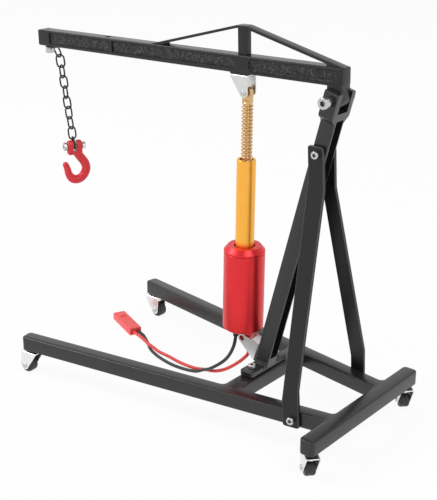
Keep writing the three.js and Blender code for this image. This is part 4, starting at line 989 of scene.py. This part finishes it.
def addCasters(shape):
    fork = bracketMesh(bracketShape, shape["drop"])
    for name, (x, y, turn) in casterPlaces.items():
        word = "".join(part.capitalize() for part in name.split("_"))
        swivel = at(x, y, 0) @ spin(radians(turn), "Z")
        axle = swivel @ at(0, -plateMiddle, shape["wheelRadius"])
        setPiece("casterBracket" + word, fork.copy(), zincPlate, "swivel_" + name,
                 "caster_bracket_" + name, axle, rim=bracketShape["rim"], rimAngle=40)
        setPiece("casterRivet" + word, rivetMesh(shape["pinShank"], bracketShape["width"] / 2), screwZinc,
                 "swivel_" + name, (), axle)
        setPiece("casterWheel" + word, wheelMesh(shape), wheelBlack, "wheel_" + name,
                 "caster_wheel_" + name, axle)
        post = at(x, y, shape["wheelRadius"] + shape["drop"] - bracketShape["screwSink"]) @ turnedTo("-Z")
        addScrew("casterScrew" + word, screws["caster"], post, "base")
        washer = washerMesh(shape["washer"], shape["washerBore"], shape["washerThickness"])
        setPiece("casterWasher" + word, washer, plugBlack, "base", (),
                 at(x, y, shape["washerHeight"]))


addCasters(casterShape)
print("casters made")


# Actuator

actuatorShape = {"footRear": 30.2, "pinHeight": 35.6, "pinBehind": 2.1, "upperPinForward": 50.9,
                 "upperPinLevel": 6.5 - 0.9 - 0.15 - 8.6, "upperDrop": 8.6, "lowerDrop": 10.6,
                 "pinBore": 1.45, "wireForward": 3.9}
upperPin = boomPlace @ Vector((0, -actuatorShape["upperPinForward"], actuatorShape["upperPinLevel"]))
actuatorRise = upperPin - Vector((0, actuatorShape["footRear"], actuatorShape["pinHeight"]))
actuatorLean = spin(-atan2(actuatorRise.y, actuatorRise.z), "X")
actuatorPlace = at(0, actuatorShape["footRear"], actuatorShape["pinHeight"]) @ actuatorLean
actuatorLength = hypot(actuatorRise.y, actuatorRise.z)
housingShape = {"radius": 10.4, "wall": 1.3, "bottom": 4.5, "floor": 2.5, "rounding": 1.5, "top": 46.1,
                "lip": 1.0, "chamferHeight": 2.3, "chamferWidth": 1.95, "hole": 5.3, "wireBore": 1.95}


def arc(radius, size, base, steps=8):
    return [(radius - size + size * sin(step * pi / 2 / steps),
             base + size - size * cos(step * pi / 2 / steps)) for step in range(steps + 1)]


def addHousing(shape):
    outer, inner = shape["radius"], shape["radius"] - shape["wall"]
    cup = lathe([(0, shape["bottom"]), *arc(outer, shape["rounding"], shape["bottom"]),
                 (outer, shape["top"] - 0.12), (outer - 0.12, shape["top"]), (inner, shape["top"]),
                 (inner, shape["bottom"] + shape["floor"]), (0, shape["bottom"] + shape["floor"])], 128)
    ear, low, reach = bracketShape["ear"], shape["bottom"] + 1.2, actuatorShape["pinBehind"]
    lug = moved(plate(outline([(reach - ear, low), (reach - ear, -ear, ear * 0.98),
                               (reach + ear, -ear, ear * 0.98), (reach + 5.9, shape["bottom"] - 0.1, 1.5),
                               (reach + 5.9, low)], 14), 5.4, 0.25), sideways)
    pinBore = moved(rod(actuatorShape["pinBore"], 11, "X"), at(0, reach, 0))
    wireBore = moved(rod(shape["wireBore"], 10), at(0, -actuatorShape["wireForward"], shape["bottom"]))
    body = combined(cup, joinTo(lug), cutBy(pinBore), cutBy(wireBore))
    setPiece("motorHousing", body, redDye, "drive_unit", "motor_housing", actuatorPlace,
             smooth=35)
    base = shape["top"] + 0.15
    crest = base + shape["lip"] + shape["chamferHeight"]
    capInner = inner - 0.25
    cap = lathe([(shape["hole"], base), (capInner - 1.3, base), (capInner - 1.3, base - 3),
                 (capInner, base - 3), (capInner, base), (outer - 0.12, base), (outer, base + 0.12),
                 (outer, base + shape["lip"]), (outer - shape["chamferWidth"], crest),
                 (outer - shape["chamferWidth"] - 0.1, crest), (shape["hole"] + 0.2, crest),
                 (shape["hole"], crest - 0.2), (shape["hole"], base)], 128)
    setPiece("housingCap", cap, redDye, "drive_unit", "housing_cap", actuatorPlace, smooth=25)


def threadMesh(core, crest, pitch, bottom, top, sides=40):
    # A right-hand thread: a strip of rounded teeth wound up the core, faded out at both ends.
    profile = [(0.0, 0.0), (0.16, 0.0), (0.36, 0.85), (0.44, 1.0), (0.60, 1.0), (0.68, 0.85), (0.88, 0.0)]
    turns = (top - bottom) / pitch - 1
    steps = int(turns * sides)
    edit = bmesh.new()
    rows = []
    for step in range(steps + 1):
        angle = 2 * pi * step / sides
        fade = min(1, step / (sides * 0.6), (steps - step) / (sides * 0.6))
        rows.append([edit.verts.new(((core + (crest - core) * share * fade) * cos(angle),
                                     (core + (crest - core) * share * fade) * sin(angle),
                                     bottom + pitch * (step / sides + along))) for along, share in profile])
    for low, high in zip(rows, rows[1:]):
        for k in range(len(profile) - 1):
            edit.faces.new((low[k], high[k], high[k + 1], low[k + 1]))
    for k in range(len(rows) - sides):
        edit.faces.new((rows[k][-1], rows[k + 1][-1], rows[k + sides + 1][0], rows[k + sides][0])
                       if k + sides + 1 < len(rows) else
                       (rows[k][-1], rows[k + 1][-1], rows[k + sides][0]))
    return meshOf(edit, "thread")


screwShape = {"crest": 2.85, "root": 2.2, "pitch": 1.77, "bottom": 80.0, "shaftBottom": 58.0,
              "tongue": 2.6, "tongueWidth": 4.8, "eye": 2.3}


def addLeadScrew(shape):
    top = actuatorLength - 4.0
    core = lathe([(0, shape["shaftBottom"]), (shape["root"], shape["shaftBottom"]),
                  (shape["root"], top - 0.9), (shape["root"] - 0.1, top - 0.1), (0, top)], 56)
    wind = threadMesh(shape["root"] - 0.02, shape["crest"], shape["pitch"], shape["bottom"], top)
    eyeTop = [(shape["tongueWidth"] / 2, top - 1.2 - actuatorLength),
              (shape["tongueWidth"] / 2, shape["eye"], 2.2), (-shape["tongueWidth"] / 2, shape["eye"], 2.2),
              (-shape["tongueWidth"] / 2, top - 1.2 - actuatorLength)]
    tongue = moved(plate(outline(list(reversed(eyeTop)), 14), shape["tongue"], 0.15),
                   at(0, 0, actuatorLength) @ sideways)
    bore = moved(rod(1.05, 8, "X"), at(0, 0, actuatorLength))
    tongue = combined(tongue, cutBy(bore))
    setPiece("leadScrew", merged(core, wind, tongue), brassThread, "screw_rod", "lead_screw",
             actuatorPlace, smooth=50)


tubeShape = {"outer": 4.73, "bore": 3.45, "bottom": 31.5, "top": 94.0, "nutOuter": 3.2, "nutBore": 2.97,
             "nutHeight": 4, "nutSink": 0.6, "notch": 1.0}


def addTube(shape):
    outer, bore, low, high = (shape[key] for key in ("outer", "bore", "bottom", "top"))
    tube = lathe([(bore, low), (outer, low), (outer, high - 0.2), (outer - 0.2, high), (bore + 0.15, high),
                  (bore, high - 0.15), (bore, low)], 96)
    setPiece("actuatorTube", tube, goldDye, "drive_tube", "actuator_tube", actuatorPlace,
             smooth=35)
    rim, nutBore, top = shape["nutOuter"], shape["nutBore"], high - shape["nutSink"]
    foot = top - shape["nutHeight"]
    nut = lathe([(nutBore, foot), (rim, foot), (rim, top - 0.15), (rim - 0.15, top), (nutBore, top),
                 (nutBore, foot)], 72)
    notches = [cutBy(moved(block(shape["notch"], 9.6, shape["notch"]),
                           at(0, 0, top) @ spin(quarter * pi / 2, "Z"))) for quarter in (0, 1)]
    setPiece("driveNut", combined(nut, *notches), brassThread, "drive_tube", "drive_nut",
             actuatorPlace, rim=0.05, rimAngle=45)


pinShape = {"half": 3.6, "radius": 1.2, "shoulder": 1.0, "tip": 0.5, "chamfer": 0.2}
grommetShape = {"level": 5.75, "sides": 40,
                "profile": [(0, -1.2), (1.1, -1.25), (1.5, -1.1), (1.7, -0.8), (1.7, 1.25), (0, 1.25)]}


def addPivotPin(shape):
    half, radius, shoulder, tip, chamfer = (
        shape[key] for key in ("half", "radius", "shoulder", "tip", "chamfer"))
    pin = lathe([(0, -half - 0.1), (tip, -half), (shoulder, -half), (radius, -half + chamfer),
                 (radius, half - chamfer), (shoulder, half), (tip, half), (0, half - chamfer)], 48)
    setPiece("lowerPivotPin", moved(pin, turnedTo("X")), pinRed, "drive_unit", "lower_pivot_pin",
             actuatorPlace @ at(0, actuatorShape["pinBehind"], 0))


def addGrommet(shape):
    setPiece("wireGrommet", lathe(shape["profile"], shape["sides"]), plugBlack, "drive_unit",
             "wire_grommet",
             actuatorPlace @ at(0, -actuatorShape["wireForward"], shape["level"]))


addHousing(housingShape)
addLeadScrew(screwShape)
addTube(tubeShape)
addPivotPin(pinShape)
addGrommet(grommetShape)


def addClevises():
    upperPlace = boomPlace @ at(0, -actuatorShape["upperPinForward"],
                                actuatorShape["upperPinLevel"]) @ spin(pi, "Z")
    setPiece("upperClevis", bracketMesh(bracketShape, actuatorShape["upperDrop"]), clevisZinc, "boom_arm",
             "upper_clevis", upperPlace, rim=bracketShape["rim"], rimAngle=40)
    stubs = combined(rivetMesh(1.0, bracketShape["width"] / 2), cutBy(block(3.1, 8, 8)))
    setPiece("upperClevisPin", stubs, screwZinc, "boom_arm", (), upperPlace)
    upperSeat = upperPlace @ at(0, plateMiddle, actuatorShape["upperDrop"] - bracketShape["screwSink"])
    addScrew("upperClevisScrew", screws["upperClevis"], upperSeat @ turnedTo("-Z"), "boom_arm")
    lowerPlace = at(0, actuatorShape["footRear"] + actuatorShape["pinBehind"],
                    actuatorShape["pinHeight"]) @ spin(-pi / 2 - mastShape["lean"], "X")
    lower = combined(bracketMesh(bracketShape, actuatorShape["lowerDrop"]),
                     cutBy(rod(actuatorShape["pinBore"], 15, "X")))
    setPiece("lowerClevis", lower, zincPlate, "base", "lower_clevis", lowerPlace,
             rim=bracketShape["rim"], rimAngle=40)
    lowerSeat = lowerPlace @ at(0, plateMiddle, actuatorShape["lowerDrop"] - bracketShape["screwSink"])
    addScrew("lowerClevisScrew", screws["lowerClevis"], lowerSeat @ turnedTo("-Z"), "base")


addClevises()
print("actuator and clevises made")


# Chain and hook

chainShape = {"heading": radians(128.87), "forward": 186, "wire": 0.46, "linkWidth": 5.3, "pitch": 5.83,
              "gap": 0.25, "ringHeading": radians(65), "ringLean": radians(10), "ringHeight": 166.3,
              "leans": [22] + [6.47] * 8 + [7], "twists": [66, -8, 68, -20, 72, -25, 52, -46, 35, 110]}
hookShape = {"turn": radians(20), "radius": 2.5, "earSpan": 8.4, "earSlot": 2.1, "earRise": 3.4,
             "earHalf": 2.6, "earFloor": 3.2, "earSink": 5, "boltSeat": 4.35, "bore": 1.25,
             "sides": 24, "taperStart": 0.6, "taper": 1.1, "pointStart": 0.9, "pointLength": 0.102,
             "voxel": 0.2, "softening": 6,
             "route": [(0.7, -2.6), (2.7, -6), (5.5, -10.2), (6.2, -13.4), (4.9, -16.9), (2.4, -19.1),
                       (0, -19.6), (-2.3, -18.7), (-3.9, -16.2), (-4.7, -12.9), (-5.7, -10.2), (-6.3, -9)]}


def ringAround(edit, centre, outward, radius, sides):
    return [edit.verts.new(centre + (outward * cos(turn) + Vector((0, 1, 0)) * sin(turn)) * radius)
            for turn in (2 * pi * k / sides for k in range(sides))]


def linkMesh(shape, length):
    bend = shape["linkWidth"] / 2 - shape["wire"]
    straight = length - 2 * shape["wire"] - 2 * bend
    line = []
    for step in range(64):
        angle = 2 * pi * step / 64
        rise = straight / 2 * max(-1, min(1, 4 * sin(angle)))
        line.append((Vector((bend * cos(angle), 0, bend * sin(angle) + rise)),
                     Vector((cos(angle), 0, sin(angle)))))
    edit = bmesh.new()
    rows = [ringAround(edit, centre, outward, shape["wire"], 14) for centre, outward in line]
    for index, row in enumerate(rows):
        after = rows[(index + 1) % len(rows)]
        for k in range(14):
            edit.faces.new((row[k], after[k], after[(k + 1) % 14], row[(k + 1) % 14]))
    return meshOf(edit, "link")


def addChain(shape):
    length = shape["pitch"] + 4 * shape["wire"] + shape["gap"]
    link = linkMesh(shape, length)
    tip = Matrix.Rotation(boomShape["droop"], 3, "X") @ Vector((0, -shape["forward"], 0))
    hang = at(0, tip.y + mastShape["pivotRear"], 0) @ spin(shape["heading"], "Z")
    half = length / 2 - shape["wire"]
    ringEnd = 2 * half * cos(shape["ringLean"]) - 1 - shape["wire"] - shape["gap"]
    middle = Vector((ringEnd - half * cos(shape["ringLean"]), 0,
                     shape["ringHeight"] + half * sin(shape["ringLean"])))
    arm = spin(shape["ringHeading"], "Z")

    def placeLink(number, matrix):
        setPiece("chainLink" + str(number), link.copy(), chainBlack, "link_" + str(number),
                 "chain_link_" + str(number), matrix)

    placeLink(1, hang @ arm @ Matrix.Translation(middle) @ spin(pi / 2 + shape["ringLean"], "Y")
              @ spin(pi / 2, "Z"))
    joint = arm.to_3x3() @ Vector((ringEnd, 0, shape["ringHeight"] + shape["wire"] + shape["gap"] / 2))
    for index, (lean, twist) in enumerate(zip(shape["leans"], shape["twists"])):
        down = Vector((sin(radians(lean)), 0, -cos(radians(lean))))
        placeLink(index + 2, hang @ Matrix.Translation(joint + down * shape["pitch"] / 2)
                  @ spin(-radians(lean), "Y") @ spin(radians(twist), "Z"))
        joint = joint + down * shape["pitch"]
    return hang, joint


def addHook(shape, hang, joint):
    drop = chainShape["wire"] + chainShape["gap"] / 2 - (1 + chainShape["wire"] + chainShape["gap"])
    place = hang @ Matrix.Translation(joint - Vector((0, 0, drop))) @ spin(shape["turn"], "Z")
    line = smoothRoute([(x, 0, z) for x, z in shape["route"]], 8)
    edit, sides, rows = bmesh.new(), shape["sides"], []
    for index, centre in enumerate(line):
        share = index / (len(line) - 1)
        ahead = (line[min(index + 1, len(line) - 1)] - line[max(index - 1, 0)]).normalized()
        across = ahead.cross(Vector((0, 1, 0))).normalized()
        taper = 1 - shape["taper"] * max(0, share - shape["taperStart"])
        point = sqrt(max(0, 1 - (max(0, share - shape["pointStart"]) / shape["pointLength"]) ** 2))
        rows.append(ringAround(edit, centre, across, shape["radius"] * taper * point, sides))
    for low, high in zip(rows, rows[1:]):
        for k in range(sides):
            edit.faces.new((low[k], low[(k + 1) % sides], high[(k + 1) % sides], high[k]))
    edit.faces.new(rows[0])
    edit.faces.new(list(reversed(rows[-1])))
    shank = meshOf(edit, "shank")
    half = shape["earHalf"]
    cheek = outline([(-half, -shape["earSink"], half * 0.8), (half, -shape["earSink"], half * 0.8),
                     (half, shape["earRise"], half * 0.96), (-half, shape["earRise"], half * 0.96)], 12)
    ears = moved(plate(cheek, shape["earSpan"], half / 2, (), 6), sideways)
    whole = combined(ears, joinTo(shank))
    holder = bpy.data.objects.new("hookForm", whole)
    remesh = holder.modifiers.new("skin", "REMESH")
    remesh.mode = "VOXEL"
    remesh.voxel_size = shape["voxel"]
    smoothing = holder.modifiers.new("soft", "SMOOTH")
    smoothing.factor = 0.5
    smoothing.iterations = shape["softening"]
    cast = evaluatedMesh(holder)
    slotHeight = shape["earRise"] + shape["earFloor"] + 2
    slotHalf = shape["earSlot"] / 2
    gap = outline([(-slotHalf, 0, 0.5), (slotHalf, 0, 0.5), (slotHalf, slotHeight), (-slotHalf, slotHeight)])
    slot = moved(plate(gap, 30), at(0, 0, -shape["earFloor"]) @ facing)
    bore = rod(shape["bore"], 20, "X")
    setPiece("hookCasting", combined(cast, cutBy(slot), cutBy(bore)), hookRed, "hook_body",
             "hook", place, smooth=50)
    addScrew("hookBolt", screws["hook"], place @ at(-shape["boltSeat"], 0, 0) @ turnedTo("-X"), "hook_body")
    setPiece("hookNut", nutMesh(*nuts["hook"]), zincPlate, "hook_body", "hook_nut",
             place @ at(shape["boltSeat"], 0, 0) @ turnedTo("X"), smooth=32)


hang, lastJoint = addChain(chainShape)
addHook(hookShape, hang, lastJoint)
print("chain and hook made")


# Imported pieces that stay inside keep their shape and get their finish

for node, look in (("motor", plainSteel), ("gearbox", plainSteel), ("thrust_bearing", plainSteel),
                   ("coupler", brassThread)):
    nodes[node].material_slots[0].material = look


# Floor, world and lamps

studio = {"floorReach": 6, "floorWhite": 0.98, "floorGlow": 0.92, "skyFill": 0.46,
          "horizon": 1.0, "ceiling": 0.4, "horizonTop": 0.44, "ceilingStart": 0.78,
          "lamps": {"keyLamp": {"place": (0.38, 1.0, 1.4), "size": 0.7, "power": 8.0},
                    "fillLamp": {"place": (1.25, -0.2, 1.0), "size": 0.6, "power": 2.5},
                    "sideLamp": {"place": (0.6, -0.9, 1.1), "size": 0.6, "power": 8.0}}}


def addFloor(values):
    mesh = bpy.data.meshes.new("floor")
    reach = values["floorReach"]
    mesh.from_pydata([(-reach, -reach, 0), (reach, -reach, 0), (reach, reach, 0), (-reach, reach, 0)], [],
                     [(0, 1, 2, 3)])
    floor = bpy.data.objects.new("floor", mesh)
    floor.location.z = -0.00002
    scene.collection.objects.link(floor)
    material = bpy.data.materials.new("floorPaper")
    material.use_nodes = True
    tree = material.node_tree
    shader = tree.nodes["Principled BSDF"]
    shader.inputs["Base Color"].default_value = (values["floorWhite"],) * 3 + (1,)
    shader.inputs["Roughness"].default_value = 0.9
    glow = tree.nodes.new("ShaderNodeEmission")
    rays = tree.nodes.new("ShaderNodeLightPath")
    seen = mathNode(tree, "MULTIPLY", rays.outputs["Is Camera Ray"], values["floorGlow"])
    mirrored = mathNode(tree, "MAXIMUM", rays.outputs["Is Glossy Ray"], rays.outputs["Is Transmission Ray"])
    mix = tree.nodes.new("ShaderNodeMixShader")
    tree.links.new(mathNode(tree, "MAXIMUM", seen, mirrored), mix.inputs[0])
    tree.links.new(shader.outputs[0], mix.inputs[1])
    tree.links.new(glow.outputs[0], mix.inputs[2])
    tree.links.new(mix.outputs[0], tree.nodes["Material Output"].inputs["Surface"])
    mesh.materials.append(material)


def addWorld(values):
    world = bpy.data.worlds.new("studio")
    world.use_nodes = True
    scene.world = world
    tree = world.node_tree
    light = tree.nodes["Background"]
    light.inputs["Color"].default_value = (1, 1, 1, 1)
    light.inputs["Strength"].default_value = values["skyFill"]
    # What is seen is white; what is mirrored is white at the sides and darker overhead, as in a light tent.
    direction = tree.nodes.new("ShaderNodeTexCoord").outputs["Generated"]
    split = tree.nodes.new("ShaderNodeSeparateXYZ")
    tree.links.new(direction, split.inputs[0])
    fall = tree.nodes.new("ShaderNodeMapRange")
    fall.interpolation_type = "SMOOTHSTEP"
    for label, value in (("From Min", values["horizonTop"]), ("From Max", values["ceilingStart"]),
                         ("To Min", values["horizon"]), ("To Max", values["ceiling"])):
        fall.inputs[label].default_value = value
    tree.links.new(split.outputs["Z"], fall.inputs["Value"])
    rays = tree.nodes.new("ShaderNodeLightPath")
    shown = tree.nodes.new("ShaderNodeBackground")
    shown.inputs["Color"].default_value = (1, 1, 1, 1)
    tree.links.new(mathNode(tree, "MAXIMUM", rays.outputs["Is Camera Ray"], fall.outputs["Result"]),
                   shown.inputs["Strength"])
    mirrored = mathNode(tree, "MAXIMUM", rays.outputs["Is Glossy Ray"], rays.outputs["Is Transmission Ray"])
    mix = tree.nodes.new("ShaderNodeMixShader")
    tree.links.new(mathNode(tree, "MAXIMUM", rays.outputs["Is Camera Ray"], mirrored), mix.inputs[0])
    tree.links.new(light.outputs[0], mix.inputs[1])
    tree.links.new(shown.outputs[0], mix.inputs[2])
    tree.links.new(mix.outputs[0], tree.nodes["World Output"].inputs["Surface"])


def addLamp(name, values):
    lamp = bpy.data.lights.new(name, "AREA")
    lamp.shape = "DISK"
    lamp.size = values["size"]
    lamp.energy = values["power"]
    lantern = bpy.data.objects.new(name, lamp)
    lantern.location = values["place"]
    aim = Vector((0, 0, 0.08)) - Vector(values["place"])
    lantern.rotation_euler = aim.to_track_quat("-Z", "Y").to_euler()
    scene.collection.objects.link(lantern)


addFloor(studio)
addWorld(studio)
for name, values in studio["lamps"].items():
    addLamp(name, values)
print("floor, world and lamps made")
